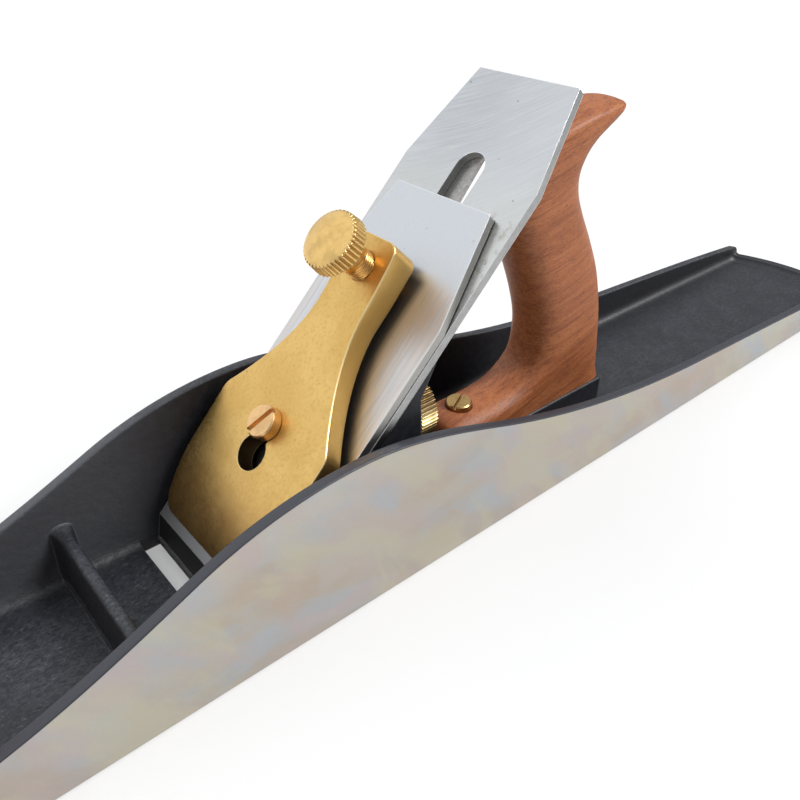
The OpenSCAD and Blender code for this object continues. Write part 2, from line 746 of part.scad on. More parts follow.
module lateral_pivot() {
    lever_top = bed_h - 0.1;
    color(steel_color) on_bed() translate([lateral_s, 0, 0]) {
        translate([0, 0, bed_h - pivot_depth])
            cylinder(h = lever_top - bed_h + pivot_depth + 0.5, d = lateral_pin_d);
        translate([0, 0, lever_top + seat_gap]) cylinder(h = 1.2, d = lateral_head_d);
    }
}

module lateral_roller() {
    color(steel_color) on_bed() leaning() translate([lateral_s - roller_offset, 0, bed_h + seat_gap])
        difference() {
            cylinder(h = 2, d = roller_d);
            translate([0, 0, -1]) cylinder(h = 4, d = roller_pin_d + 2 * running);
        }
}

// Outline of an iron as [s, y], with straight sides and a tapered top
module iron_outline(s0, s1, w, top_w, taper_l) {
    polygon([[s0, -w / 2], [s1 - taper_l, -w / 2], [s1, -top_w / 2],
             [s1, top_w / 2], [s1 - taper_l, w / 2], [s0, w / 2]]);
}

module cutting_iron() {
    keyhole_low_s = edge_s + 24;
    slot_top_s = iron_top_s - slot_from_top - iron_slot_w / 2;
    color(iron_color) on_bed() difference() {
        translate([0, 0, -iron_t]) linear_extrude(iron_t)
            iron_outline(edge_s, iron_top_s, iron_w, iron_top_w, iron_taper_l);
        // Ground bevel on the back
        translate([edge_s, 0, 0]) rotate([0, bevel_angle, 0]) translate([-iron_w / 3, -iron_w, -3 * iron_t])
            cube([iron_w, 2 * iron_w, 3 * iron_t]);
        round_slot(keyhole_low_s, slot_top_s, iron_slot_w, -iron_t - 1, 1);
        translate([keyhole_low_s, 0, -iron_t - 1]) cylinder(h = iron_t + 2, d = cap_screw_head_d + 1.4);
    }
}

// Side view of the cap iron as [s, h]: a flat plate that ends in a hump, with a ground slope
// in front that meets the top of the hump in a crease
module cap_iron_profile() {
    e = cap_edge_s;
    crease = [[e + hump_front_l - 0.35, hump_h - 0.2], [e + hump_front_l, hump_h],
              [e + hump_l + 3, hump_h]];
    fall = [for (k = [1 : 8]) let (q = k / 8)
        [e + hump_l + 3 + 13 * q, hump_h - (hump_h - cap_top_h) * (1 - cos(180 * q)) / 2]];
    under = [[e + 27, cap_low_h], [e + 20, cap_low_h + 0.5], [e + 12, hump_h - cap_iron_t + 0.3],
             [e + 7, 1.5], [e + 2.5, 0.06], [e, 0.02]];
    polygon(concat([[e, 0.25]], crease, fall,
                   [[cap_iron_top_s, cap_top_h], [cap_iron_top_s, cap_low_h]], under));
}

module cap_iron() {
    corner = 0.4;
    s1 = cap_iron_top_s;
    hw = cap_iron_top_w / 2;
    color(iron_color) on_bed() difference() {
        intersection() {
            across(iron_w) cap_iron_profile();
            translate([0, 0, -1]) linear_extrude(4 * hump_h)
                iron_outline(cap_edge_s, s1, iron_w, cap_iron_top_w, cap_iron_taper_l);
        }
        for (side = [-1, 1]) translate([s1, side * hw, -1]) rotate([0, 0, 45])
            cube([2 * corner, 2 * corner, 4 * hump_h], center = true);
        translate([cap_screw_s, 0, -1]) cylinder(h = 8, d = cap_screw_d + 2 * running);
        // Slot that lets the lever cap screw pass while the irons move
        round_slot(lever_screw_s - depth_back - 1.5, lever_screw_s + depth_out + 1.5,
                   lever_screw_head_d + 0.8, -1, 8);
        // Window for the tip of the Y lever
        translate([edge_s + window_s - window_l / 2, -window_w / 2, -1])
            cube([window_l, window_w, 2 * hump_h]);
    }
}

module cap_iron_screw() {
    head_top = -iron_t - seat_gap;
    color(steel_color) on_bed() translate([cap_screw_s, 0, 0]) difference() {
        union() {
            translate([0, 0, head_top - cap_screw_head_t + 0.1])
                cylinder(h = cap_screw_head_t - 0.1, d = cap_screw_head_d);
            translate([0, 0, head_top - eps]) cylinder(h = cap_top_h - head_top - 0.1, d = cap_screw_d);
        }
        translate([0, 0, head_top - cap_screw_head_t + 0.1]) mirror([0, 0, 1]) driver_slot(18, 1.6, 1.4);
    }
}

// Outline of the lever cap as [s, half width], from its lower end to its top end
function lever_half() = let (w = lever_cap_w / 2, n = lever_neck_w / 2, c = lever_shoulder_s)
    concat(
        [for (k = [0 : 5]) let (q = k * 18) [lever_low_s + 4.5 * (1 - cos(q)), w - 4.5 * (1 - sin(q))]],
        [[c - 3.5, w], [c - 0.5, w - 0.7]],
        [for (k = [1 : 12]) let (q = k / 12)
            [c + 40 * q, n + (w - 0.9 - n) * pow(1 - q, 1.75)]],
        [for (k = [0 : 5]) let (q = k * 18) [lever_top_s - 3.8 * (1 - sin(q)), n - 3.8 * (1 - cos(q))]]);

module lever_outline() {
    half = lever_half();
    polygon(concat(half, [for (i = [len(half) - 1 : -1 : 0]) [half[i][0], -half[i][1]]]));
}

// Height of the lever cap's face at a place up the bed
function lever_face_at(s) = lever_face_h + (s - lever_screw_s) * tan(lever_tilt)
    + lever_sweep * pow(max(0, s - lever_sweep_s) / (lever_top_s - lever_sweep_s), 2);

// Side view of the lever cap as [s, h]: a plate that thickens where its top end sweeps up
// and thins towards its lower end
module lever_profile() {
    s0 = lever_low_s;
    sweep = [for (k = [8 : -1 : 0]) let (s = lever_sweep_s + (lever_top_s - lever_sweep_s) * k / 8)
        [s, lever_face_at(s)]];
    polygon(concat([[s0, hump_h + 0.12], [s0 + 2.5, hump_h + 0.12], [s0 + 12, lever_under_h],
                    [thumb_s - 6, lever_under_h], [lever_top_s, lever_under_h + 1]],
                   sweep,
                   [[s0 + 26, lever_face_at(s0 + 26)], [s0 + 19, lever_face_at(s0 + 19) - 0.5],
                    [s0 + 12, lever_face_at(s0 + 12) - 1.6], [s0 + 6, lever_face_at(s0 + 6) - 3.3],
                    [s0 + 2, lever_face_at(s0 + 2) - 4.8], [s0, hump_h + 1]]));
}

module lever_cap() {
    slot_d = lever_screw_d + 1;
    color(bronze_color) on_bed() difference() {
        intersection() {
            across(lever_cap_w + 2) lever_profile();
            linear_extrude(30) lever_outline();
        }
        translate([keyhole_s, 0, 0]) cylinder(h = 30, d = keyhole_d);
        round_slot(keyhole_s, lever_screw_s, slot_d, 0, 30);
        translate([thumb_s, 0, 0]) cylinder(h = 30, d = thumb_stem_d + 2 * running);
    }
}

module lever_cap_screw() {
    head_low = lever_face_h + 0.3;
    color(bronze_color) on_bed() translate([lever_screw_s, 0, 0]) difference() {
        union() {
            translate([0, 0, bed_h - 10]) cylinder(h = head_low - bed_h + 10 + eps, d = lever_screw_d);
            translate([0, 0, head_low]) cylinder(h = lever_screw_head_t - 0.5, d = lever_screw_head_d);
            translate([0, 0, head_low + lever_screw_head_t - 0.5])
                cylinder(h = 0.5, d1 = lever_screw_head_d, d2 = lever_screw_head_d - 1);
        }
        translate([0, 0, head_low + lever_screw_head_t]) rotate([0, 0, -24]) driver_slot(12, 1.8, 1.8);
    }
}

// Threaded stem of the thumbscrew, which presses on the cap iron
module thumbscrew_stem() {
    knob_low = lever_face_at(thumb_s) + thumb_neck_l;
    low = cap_top_h + 0.1;
    color(brass_color) on_bed() translate([thumb_s, 0, 0]) {
        translate([0, 0, low]) cylinder(h = 1, d1 = thumb_stem_d - 2, d2 = thumb_stem_d);
        translate([0, 0, low + 1]) cylinder(h = knob_low - low - 1, d = thumb_stem_d);
        translate([0, 0, knob_low - eps]) cylinder(h = thumb_knob_h - 3.2, d = 6);
    }
}

module thumbscrew_knob() {
    r = thumb_knob_d / 2;
    low = 0.4;
    rim = 5.1;
    teeth = 40;
    tooth = 0.8;
    dome = thumb_knob_h - rim;
    color(brass_color) on_bed() translate([thumb_s, 0, lever_face_at(thumb_s) + thumb_neck_l + seat_gap])
        difference() {
            union() {
                cylinder(h = low, r1 = r - 1.6, r2 = r - tooth);
                translate([0, 0, low - eps]) linear_extrude(rim - low + eps)
                    polygon([for (i = [0 : 2 * teeth - 1]) let (q = i * 180 / teeth)
                        (r - (i % 2 == 0 ? 0 : tooth)) * [cos(q), sin(q)]]);
                translate([0, 0, rim - eps]) rotate_extrude() polygon(concat([[0, 0]],
                    [for (k = [0 : 12]) let (q = k * 7.5) [(r - 0.6) * pow(cos(q), 0.85), dome * sin(q)]]));
            }
            translate([0, 0, -1]) cylinder(h = thumb_knob_h - 2.9 + 1, d = 6 + 2 * running);
        }
}

// Rear handle as rings from its foot up to the tip of its horn. Each ring is given by its
// rear point x and z, its front point x and z, its share of the full thickness, and how
// square its section is (2 is an oval).
tote_rings = [
    [tote_back_x, tote_base_z, tote_front_x, tote_base_z, 1, 9],
    [tote_back_x, 16.8, -107.9, 21.3, 1, 8],
    [tote_back_x, 17.8, -110, 25.5, 1, 7],
    [tote_back_x, 19.2, -116, 27.4, 1, 6],
    [tote_back_x, 21, -125, 27.5, 1, 5],
    [tote_back_x, 23.5, -134.5, 27.7, 1, 4.5],
    [-197.9, 27, -143, 28.8, 1, 4],
    [-197.7, 31.5, -149.8, 31.8, 1, 3.6],
    [-197.3, 37, -153.8, 36, 1, 3.2],
    [-196.4, 45, -155.4, 43, 1, 3],
    [-194.1, 56.5, -154.9, 53, 1, 2.8],
    [-189.5, 70, -151.8, 64, 1, 2.8],
    [-182.8, 83, -147.2, 75.5, 1, 2.8],
    [-175.8, 95, -141.6, 87, 1, 2.8],
    [-171.6, 104, -136.2, 98, 1, 2.8],
    [-171.1, 111.7, -133.4, 108.3, 1, 2.8],
    [-174, 118.2, -135.7, 118, 1, 3],
    [-177.3, 122.1, -146, 125.8, 1, 3.2],
    [-180.9, 124.6, -158.6, 131, 1, 3.2],
    [-184.5, 126.8, -171.8, 133.5, 0.96, 3.2],
    [-187.4, 128.4, -182.2, 134.1, 0.88, 3],
    [-189.5, 129.9, -187.8, 133.8, 0.76, 2.8],
    [-190.8, 131.2, -190.2, 133, 0.58, 2.4]];
tote_rows = curve(tote_rings, 2);

// Distance of a point from the straight piece between two others
function off_segment(p, a, b) = let (
    t = max(0, min(1, (p - a) * (b - a) / ((b - a) * (b - a)))))
    norm(p - a - t * (b - a));

// Depth of a place below the front and top line of the rear handle
function tote_depth(p) = min([for (k = [0 : len(tote_rows) - 2]) let (
    a = tote_rows[k], b = tote_rows[k + 1])
    off_segment(p, [a[2], a[3]], [b[2], b[3]])]);

// Share of the thickness left by the rounding of the upper edges
function tote_round(depth) = let (q = 1 - min(1, depth / tote_edge_r))
    pow(1 - pow(q, 2.2), 1 / 2.2);

// Points round one ring of the rear handle
function tote_ring(r, count) = [for (i = [0 : count - 1]) let (
    q = i * 360 / count,
    x = (r[0] + r[2]) / 2 + (r[2] - r[0]) / 2 * cos(q),
    z = (r[1] + r[3]) / 2 + (r[3] - r[1]) / 2 * cos(q),
    oval = r[4] * pow(max(0, 1 - pow(abs(cos(q)), r[5])), 1 / r[5]),
    side = min(oval, tote_round(tote_depth([x, z]))))
    [x, sign(sin(q)) * side * tote_w / 2, z]];

module tote_rod_axis() {
    translate([rod_foot_x, 0, platform_h]) rotate([0, rod_lean, 0]) children();
}

// Solid through rings of points that all have the same count
module loft(rings) {
    n = len(rings[0]);
    m = len(rings);
    sides = [for (j = [0 : m - 2], i = [0 : n - 1]) let (k = (i + 1) % n)
        each [[j * n + i, (j + 1) * n + k, j * n + k], [j * n + i, (j + 1) * n + i, (j + 1) * n + k]]];
    polyhedron([for (r = rings, v = r) v],
               concat([[for (i = [0 : n - 1]) i]], sides, [[for (i = [n - 1 : -1 : 0]) (m - 1) * n + i]]));
}

module tote() {
    color(wood_color) at_blade() difference() {
        loft([for (r = tote_rows) tote_ring(r, 28)]);
        tote_rod_axis() {
            translate([0, 0, -1]) cylinder(h = rod_l + 30, d = rod_d + 2 * loose);
            translate([0, 0, rod_l - 9]) cylinder(h = 40, d = brass_nut_d + 2 * loose);
        }
        translate([tote_screw_x, 0, 0]) cylinder(h = 60, d = 5 + 2 * loose);
        translate([tote_screw_x, 0, tote_base_z + tote_screw_seat])
            cylinder(h = 30, d = toe_head_d + 2 * loose);
    }
}

module tote_rod() {
    color(steel_color) at_blade() tote_rod_axis() translate([0, 0, -8]) cylinder(h = rod_l + 4, d = rod_d);
}

// Round brass nut with a slotted head, sunk in the top of a handle; its top is at z = 0
module brass_nut(l) {
    head_t = 3;
    difference() {
        union() {
            translate([0, 0, -head_t]) cylinder(h = head_t, d1 = brass_nut_d, d2 = brass_nut_d - 1.4);
            translate([0, 0, -l]) cylinder(h = l - head_t + eps, d = brass_nut_d - 2.6);
        }
        translate([0, 0, -l - 1]) cylinder(h = l - 1.2, d = rod_d + 2 * thread_fit);
        driver_slot(14, 1.6, 1.2);
    }
}

module tote_nut() {
    color(brass_color) at_blade() tote_rod_axis() translate([0, 0, rod_l + 0.5]) brass_nut(9.4);
}

module tote_toe_screw() {
    head_low = tote_base_z + tote_screw_seat + seat_gap;
    color(brass_color) at_blade() translate([tote_screw_x, 0, 0]) difference() {
        union() {
            translate([0, 0, 6]) cylinder(h = head_low - 6 + eps, d = 5);
            translate([0, 0, head_low]) cylinder(h = 2.4, d = toe_head_d);
            translate([0, 0, head_low + 2.4]) cylinder(h = 0.5, d1 = toe_head_d, d2 = toe_head_d - 1);
        }
        translate([0, 0, head_low + 2.9]) rotate([0, 0, 28]) driver_slot(12, 1.2, 1.3);
    }
}

// Turned front handle: a round foot, a waist and a ball
module front_knob() {
    r = knob_d / 2;
    foot_r = r - 1;
    waist_r = r * 0.62;
    body = curve([[foot_r, 0], [foot_r, 3], [foot_r - 2.5, 6], [waist_r, 13], [waist_r + 1, 20],
                  [r - 1.5, 31], [r, 39], [r - 1.6, 47], [r * 0.68, 54], [r * 0.4, knob_h - 0.8],
                  [brass_nut_d / 2 + 1, knob_h]], 3);
    color(wood_color) at_blade() translate([knob_from_mouth, 0, boss_h + seat_gap]) difference() {
        rotate_extrude($fn = 96) polygon(concat([[0, 0]], body, [[0, knob_h]]));
        translate([0, 0, -1]) cylinder(h = knob_h + 2, d = rod_d + 2 * loose);
        translate([0, 0, knob_h - 9.5]) cylinder(h = 20, d = brass_nut_d + 2 * loose);
    }
}

module knob_rod() {
    color(steel_color) at_blade() translate([knob_from_mouth, 0, 2])
        cylinder(h = boss_h + knob_h - 6, d = rod_d);
}

module knob_nut() {
    color(brass_color) at_blade() translate([knob_from_mouth, 0, boss_h + knob_h + 0.6]) brass_nut(9.6);
}

body_casting();
frog();
frog_screws();
frog_washers();
frog_adjusting_screw();
frog_clip();
frog_clip_screw();
depth_stud();
depth_nut();
depth_wheel();
y_lever();
y_lever_pin();
lateral_lever();
lateral_pivot();
lateral_roller();
cutting_iron();
cap_iron();
cap_iron_screw();
lever_cap();
lever_cap_screw();
thumbscrew_stem();
thumbscrew_knob();
tote();
tote_rod();
tote_nut();
tote_toe_screw();
front_knob();
knob_rod();
knob_nut();
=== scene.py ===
"""Looks of a long metal bench plane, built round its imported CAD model.

The casting, both handles, the lever cap and the thumbscrew are made here in finer detail, in the
places of their CAD solids. Every other piece keeps its CAD shape. All materials are procedural.
Sizes are in millimetres, and places along the sole are given from the blade line.
"""
import math

import bmesh
import bpy
from mathutils import Matrix, Vector


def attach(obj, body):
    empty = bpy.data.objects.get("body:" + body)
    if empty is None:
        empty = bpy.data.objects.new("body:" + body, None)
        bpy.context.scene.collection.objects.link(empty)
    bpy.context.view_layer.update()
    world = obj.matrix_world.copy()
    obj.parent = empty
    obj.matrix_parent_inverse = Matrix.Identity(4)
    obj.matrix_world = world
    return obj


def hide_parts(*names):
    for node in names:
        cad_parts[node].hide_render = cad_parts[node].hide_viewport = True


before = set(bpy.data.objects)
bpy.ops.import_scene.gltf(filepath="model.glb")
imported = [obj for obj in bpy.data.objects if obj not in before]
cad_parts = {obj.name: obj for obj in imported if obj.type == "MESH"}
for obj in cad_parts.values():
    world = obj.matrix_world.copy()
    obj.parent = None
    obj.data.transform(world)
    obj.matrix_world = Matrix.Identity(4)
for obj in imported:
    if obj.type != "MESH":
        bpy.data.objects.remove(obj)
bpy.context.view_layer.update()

MM = 0.001

# Sizes shared with the CAD model
SOLE_L = 559
SOLE_W = 74.5
SOLE_T = 4
CHEEK_T = 4
LIP_T = 5
FLOOR_R = 4.5
END_BOW = 8.5
END_LIP_H = 6.5
END_CORNER_R = 3.5
BLADE_X = 120
TOE_X = 159.5
HEEL_X = TOE_X - SOLE_L
HALF_W = SOLE_W / 2
INNER_HALF = HALF_W - CHEEK_T
BOW_R = (END_BOW**2 + HALF_W**2) / (2 * END_BOW)
BED_ANGLE = math.radians(45)
SEAT_H = 14
SEAT_FRONT_X = -20.71

# Camera of the photograph: place and aim in metres, lens for a 36 mm sensor
CAMERA_AT = (0.17882, 0.17764, 0.19717)
CAMERA_AIM = (0.0285, 0.0, 0.04225)
CAMERA_ROLL = math.radians(0.244)
CAMERA_LENS = 34.96


def at_blade(x, y, z):
    """A point given from the blade line, in millimetres, as metres in the frame."""
    return Vector(((x + BLADE_X) * MM, y * MM, z * MM))


def on_bed(s, y, h):
    """A point on the bed: s up the slope, h square to the front face of the cutting iron."""
    c, n = math.cos(BED_ANGLE), math.sin(BED_ANGLE)
    return at_blade(-s * c + h * n, y, s * n + h * c)


def ease(value, low, high):
    """Smooth step from 0 at low to 1 at high."""
    t = max(0.0, min(1.0, (value - low) / (high - low)))
    return t * t * (3 - 2 * t)


def along(pairs, value):
    """Height at a place on a line through pairs of (place, height)."""
    for (a, low), (b, high) in zip(pairs, pairs[1:]):
        if value <= b:
            return low + (high - low) * max(0.0, value - a) / (b - a)
    return pairs[-1][1]


def through(points, i, t):
    """Smooth curve through points of any number of values."""
    last = len(points) - 1
    a, b = points[max(i - 1, 0)], points[i]
    c, d = points[min(i + 1, last)], points[min(i + 2, last)]
    return [
        (2 * q + (r - p) * t + (2 * p - 5 * q + 4 * r - w) * t * t + (3 * q - p - 3 * r + w) * t**3) / 2
        for p, q, r, w in zip(a, b, c, d)
    ]


def curve(points, steps):
    made = [through(points, i, k / steps) for i in range(len(points) - 1) for k in range(steps)]
    return made + [list(points[-1])]


def new_object(name, mesh):
    made = bpy.data.objects.new(name, mesh)
    bpy.context.scene.collection.objects.link(made)
    return made


def from_bmesh(name, bm):
    mesh = bpy.data.meshes.new(name)
    bm.to_mesh(mesh)
    bm.free()
    return new_object(name, mesh)


def smooth(obj, angle=35):
    """Smooth shading, with edges sharper than the angle left crisp."""
    limit = math.radians(angle)
    bm = bmesh.new()
    bm.from_mesh(obj.data)
    for f in bm.faces:
        f.smooth = True
    for e in bm.edges:
        e.smooth = len(e.link_faces) != 2 or e.calc_face_angle(0) < limit
    bm.to_mesh(obj.data)
    bm.free()
    return obj


def whole_cap(row):
    return [row]


def lofted(name, rings, cap=whole_cap):
    """A closed solid through rings of points with equal counts; cap divides each end."""
    bm = bmesh.new()
    rows = [[bm.verts.new(p) for p in ring] for ring in rings]
    count = len(rings[0])
    for low, high in zip(rows, rows[1:]):
        for i in range(count):
            k = (i + 1) % count
            bm.faces.new((low[i], low[k], high[k], high[i]))
    for end in (rows[0], rows[-1]):
        for face in cap(end):
            bm.faces.new(face)
    bmesh.ops.remove_doubles(bm, verts=bm.verts, dist=1e-7)
    bmesh.ops.recalc_face_normals(bm, faces=bm.faces)
    return from_bmesh(name, bm)


def cylinder(start, end, radius, sides=96):
    """A cylinder between two points in metres."""
    start, end = Vector(start), Vector(end)
    reach = end - start
    turn = reach.to_track_quat("Z", "Y").to_matrix().to_4x4()
    bm = bmesh.new()
    bmesh.ops.create_cone(bm, cap_ends=True, segments=sides, radius1=radius, radius2=radius, depth=reach.length)
    bmesh.ops.transform(bm, matrix=Matrix.Translation((start + end) / 2) @ turn, verts=bm.verts)
    return from_bmesh("cutter", bm)


def combine(obj, other, operation):
    """Applies a boolean of another object and removes that object."""
    step = obj.modifiers.new("combine", "BOOLEAN")
    step.operation = operation
    step.solver = "EXACT"
    step.object = other
    graph = bpy.context.evaluated_depsgraph_get()
    graph.update()
    mesh = bpy.data.meshes.new_from_object(obj.evaluated_get(graph))
    obj.modifiers.clear()
    old = obj.data
    obj.data = mesh
    bpy.data.meshes.remove(old)
    bpy.data.objects.remove(other)
    return obj


def prism(points, half):
    """Extrudes an outline of (x, z) across the plane, to both sides of its middle."""
    return lofted("cutter", [[at_blade(x, y, z) for x, z in points] for y in (-half, half)])


def turned(name, profile, count, place, radius_at=None):
    """A piece turned round an axis, from a profile of (radius, height)."""
    rings = []
    for r, h in profile:
        turns = [2 * math.pi * i / count for i in range(count)]
        radii = [radius_at(r, h, q) if radius_at else r for q in turns]
        rings.append([place(a * math.cos(q), a * math.sin(q), h) for a, q in zip(radii, turns)])
    return lofted(name, rings)


# Casting

CHEEK_KNOTS = [
    (149.3, 14.1, -0.03), (57, 26.4, -0.30), (8, 46.3, -0.46), (-47, 58, 0),
    (-104, 45.4, 0.337), (-234, 21.6, 0.058), (-389.3, 11.4, 0.091),
]
RIM_R = 0.8
MIDDLE_STEPS = 8


def cheek_height(x):
    """Height of the cheeks at a place along the sole, from the same knots as the CAD model."""
    for a, b in zip(CHEEK_KNOTS, CHEEK_KNOTS[1:]):
        if b[0] <= x <= a[0]:
            d = b[0] - a[0]
            t = (x - a[0]) / d
            rise = (2 * t**3 - 3 * t * t + 1) * a[1] + (t**3 - 2 * t * t + t) * d * a[2]
            return rise + (3 * t * t - 2 * t**3) * b[1] + (t**3 - t * t) * d * b[2]
    knot = CHEEK_KNOTS[0] if x > 0 else CHEEK_KNOTS[-1]
    return knot[1] + knot[2] * (x - knot[0])


def end_reach(x):
    """Distance from the nearer end of the sole, along its middle."""
    return min(TOE_X - x, x - HEEL_X)


def bowed(x, y):
    """Moves a station back at the sides, so that the ends are arcs in plan."""
    back = (BOW_R - math.sqrt(BOW_R**2 - y * y)) * ease(end_reach(x), 100, 12)
    return x - math.copysign(back, x - HEEL_X - SOLE_L / 2)


def corner_drop(reach, r):
    """How far a round corner of radius r lies below its top at a distance from the end."""
    return r - math.sqrt(max(0.0, r * r - (r - reach) ** 2)) if reach < r else 0.0


def floor_height(reach):
    """The floor rises into the lip at each end with the same round corner as at the cheeks."""
    lip = END_LIP_H - corner_drop(reach, RIM_R)
    return min(lip, SOLE_T + corner_drop(max(0.0, reach - LIP_T), FLOOR_R))


def casting_half(x):
    """Half of the casting's section from the middle of the sole round a cheek to the floor."""
    reach = end_reach(x)
    floor = floor_height(reach)
    top = cheek_height(bowed(x, HALF_W - CHEEK_T / 2)) - corner_drop(reach, END_CORNER_R)
    low = top - RIM_R
    r = min(FLOOR_R, max(low - floor - 0.3, 0.2))
    points = [((INNER_HALF - r) * k / MIDDLE_STEPS, 0) for k in range(MIDDLE_STEPS + 1)]
    points += [(HALF_W - 0.4, 0)]
    points += [(HALF_W, 0.4 + (low - 0.4) * k / 6) for k in range(6)]
    for centre, start in ((HALF_W - RIM_R, 0), (INNER_HALF + RIM_R, 90)):
        turns = [math.radians(start + k * 22.5) for k in range(5)]
        points += [(centre + RIM_R * math.cos(q), low + RIM_R * math.sin(q)) for q in turns]
    points += [(INNER_HALF, low + (floor + r - low) * k / 6) for k in range(1, 6)]
    turns = [math.radians(k * 15) for k in range(7)]
    points += [(INNER_HALF - r + r * math.cos(q), floor + r - r * math.sin(q)) for q in turns]
    points += [((INNER_HALF - r) * (1 - k / MIDDLE_STEPS), floor) for k in range(1, MIDDLE_STEPS + 1)]
    return points


def casting_ring(x):
    half = casting_half(x)
    left = [at_blade(bowed(x, y), y, z) for y, z in half]
    right = [at_blade(bowed(x, y), -y, z) for y, z in reversed(half[1:-1])]
    return left + right


def casting_cap(row):
    """Divides the bowed end face into strips under the lip and one face under each cheek."""
    last = len(row) // 2
    faces = []
    for side in (lambda i: row[i], lambda i: row[-i] if 0 < i < last else row[i]):
        for k in range(MIDDLE_STEPS):
            faces.append([side(k), side(k + 1), side(last - k - 1), side(last - k)])
        faces.append([side(i) for i in range(MIDDLE_STEPS, last - MIDDLE_STEPS + 1)])
    return faces


def casting_stations():
    ends = [0, 0.12, 0.35, 0.8, 1.5, 2.4, END_CORNER_R, LIP_T - 0.3, LIP_T, LIP_T + 0.2, LIP_T + 0.47]
    ends += [LIP_T + d for d in (0.8, 1.3, 2, 3, FLOOR_R)]
    first = LIP_T + FLOOR_R + 1.5
    count = 270
    middle = [first + (SOLE_L - 2 * first) * k / count for k in range(count + 1)]
    return [HEEL_X + d for d in ends + middle] + [TOE_X - d for d in reversed(ends)]


def make_rib():
    """Rib across the floor, flared where it meets each cheek."""
    middle, half_t, height, flare = 22.8, 2.2, 24.5, 6
    wall = [(half_t + 1.8, SOLE_T - 0.4), (half_t + 1.5, SOLE_T + 0.1), (half_t + 0.7, SOLE_T + 0.9)]
    wall += [(half_t + 0.4, SOLE_T + 2)]
    turns = [math.pi * k / 12 for k in range(13)]
    crown = [(half_t * math.cos(q), height - half_t + half_t * math.sin(q)) for q in turns]
    section = wall + crown + [(-x, z) for x, z in reversed(wall)]
    rows = []
    for k in range(61):
        y = (INNER_HALF + 0.3) * (k / 30 - 1)
        near = max(0.0, (abs(y) - INNER_HALF + flare) / flare)
        wide = 1 + 0.7 * near**1.6
        rows.append([at_blade(middle + x * wide, y, z + 1.5 * near**2 * z / height) for x, z in section])
    return lofted("rib", rows)


def rounded_plate(x0, x1, half, z0, z1, r, edge):
    """An upright plate with round corners and a small round top edge."""
    corners = [(x1 - r, half - r, 0), (x0 + r, half - r, 90), (x0 + r, r - half, 180), (x1 - r, r - half, 270)]

    def ring(z, inset):
        points = []
        for cx, cy, start in corners:
            for k in range(9):
                q = math.radians(start + k * 11.25)
                points.append(at_blade(cx + (r - inset) * math.cos(q), cy + (r - inset) * math.sin(q), z))
        return points

    rings = [ring(z0, 0), ring(z1 - edge, 0)]
    rings += [ring(z1 - edge + edge * math.sin(q), edge * (1 - math.cos(q))) for q in (0.4, 0.8, 1.2, math.pi / 2)]
    return lofted("plate", rings)


def make_casting():
    body = lofted("plane_body", [casting_ring(x) for x in casting_stations()], casting_cap)
    front = SEAT_FRONT_X + SEAT_H
    seat = prism([(front - 3.8, 3.8), (SEAT_FRONT_X, SEAT_H), (-66, SEAT_H), (-66, 3.8)], 26)
    platform = rounded_plate(-198.5, -107, 12.5, 3.8, 16, 3, 0.8)
    boss = turned("boss", [(21.5, 3.8), (21.5, 8.2), (21.3, 8.7), (20.8, 9)], 96, knob_place)
    for piece in (make_rib(), seat, platform, boss):
        combine(body, piece, "UNION")
    combine(body, prism([(0.15, -1), (0.15, 6), (front - 6, 6), (front + 1, -1)], 32.2), "DIFFERENCE")
    combine(body, cylinder(at_blade(-54, 0, 9), at_blade(-67, 0, 9), 2.6 * MM), "DIFFERENCE")
    return smooth(body, 32)


# Rear handle: rings from foot to horn, as rear point, front point, share of the thickness
# and squareness of the section, the same rings as in the CAD model

TOTE_W = 24
TOTE_BASE_Z = 16.05
TOTE_RINGS = [
    (-198, TOTE_BASE_Z, -107.5, TOTE_BASE_Z, 1, 9), (-198, 16.8, -107.9, 21.3, 1, 8),
    (-198, 17.8, -110, 25.5, 1, 7), (-198, 19.2, -116, 27.4, 1, 6), (-198, 21, -125, 27.5, 1, 5),
    (-198, 23.5, -134.5, 27.7, 1, 4.5), (-197.9, 27, -143, 28.8, 1, 4), (-197.7, 31.5, -149.8, 31.8, 1, 3.6),
    (-197.3, 37, -153.8, 36, 1, 3.2), (-196.4, 45, -155.4, 43, 1, 3), (-194.1, 56.5, -154.9, 53, 1, 2.8),
    (-189.5, 70, -151.8, 64, 1, 2.8), (-182.8, 83, -147.2, 75.5, 1, 2.8), (-175.8, 95, -141.6, 87, 1, 2.8),
    (-171.6, 104, -136.2, 98, 1, 2.8), (-171.1, 111.7, -133.4, 108.3, 1, 2.8), (-174, 118.2, -135.7, 118, 1, 3),
    (-177.3, 122.1, -146, 125.8, 1, 3.2), (-180.9, 124.6, -158.6, 131, 1, 3.2),
    (-184.5, 126.8, -171.8, 133.5, 0.96, 3.2), (-187.4, 128.4, -182.2, 134.1, 0.88, 3),
    (-189.5, 129.9, -187.8, 133.8, 0.76, 2.8), (-190.8, 131.2, -190.2, 133, 0.58, 2.4),
]
ROD_FOOT = (-182, 16)
ROD_TOP = (-148.5, 122)
TOE_SCREW_X = -121.5


def off_line(x, z, line):
    """Distance of a point from a line through points, in side view."""
    best = math.inf
    for (ax, az), (bx, bz) in zip(line, line[1:]):
        dx, dz = bx - ax, bz - az
        t = max(0.0, min(1.0, ((x - ax) * dx + (z - az) * dz) / (dx * dx + dz * dz)))
        best = min(best, math.hypot(x - ax - t * dx, z - az - t * dz))
    return best


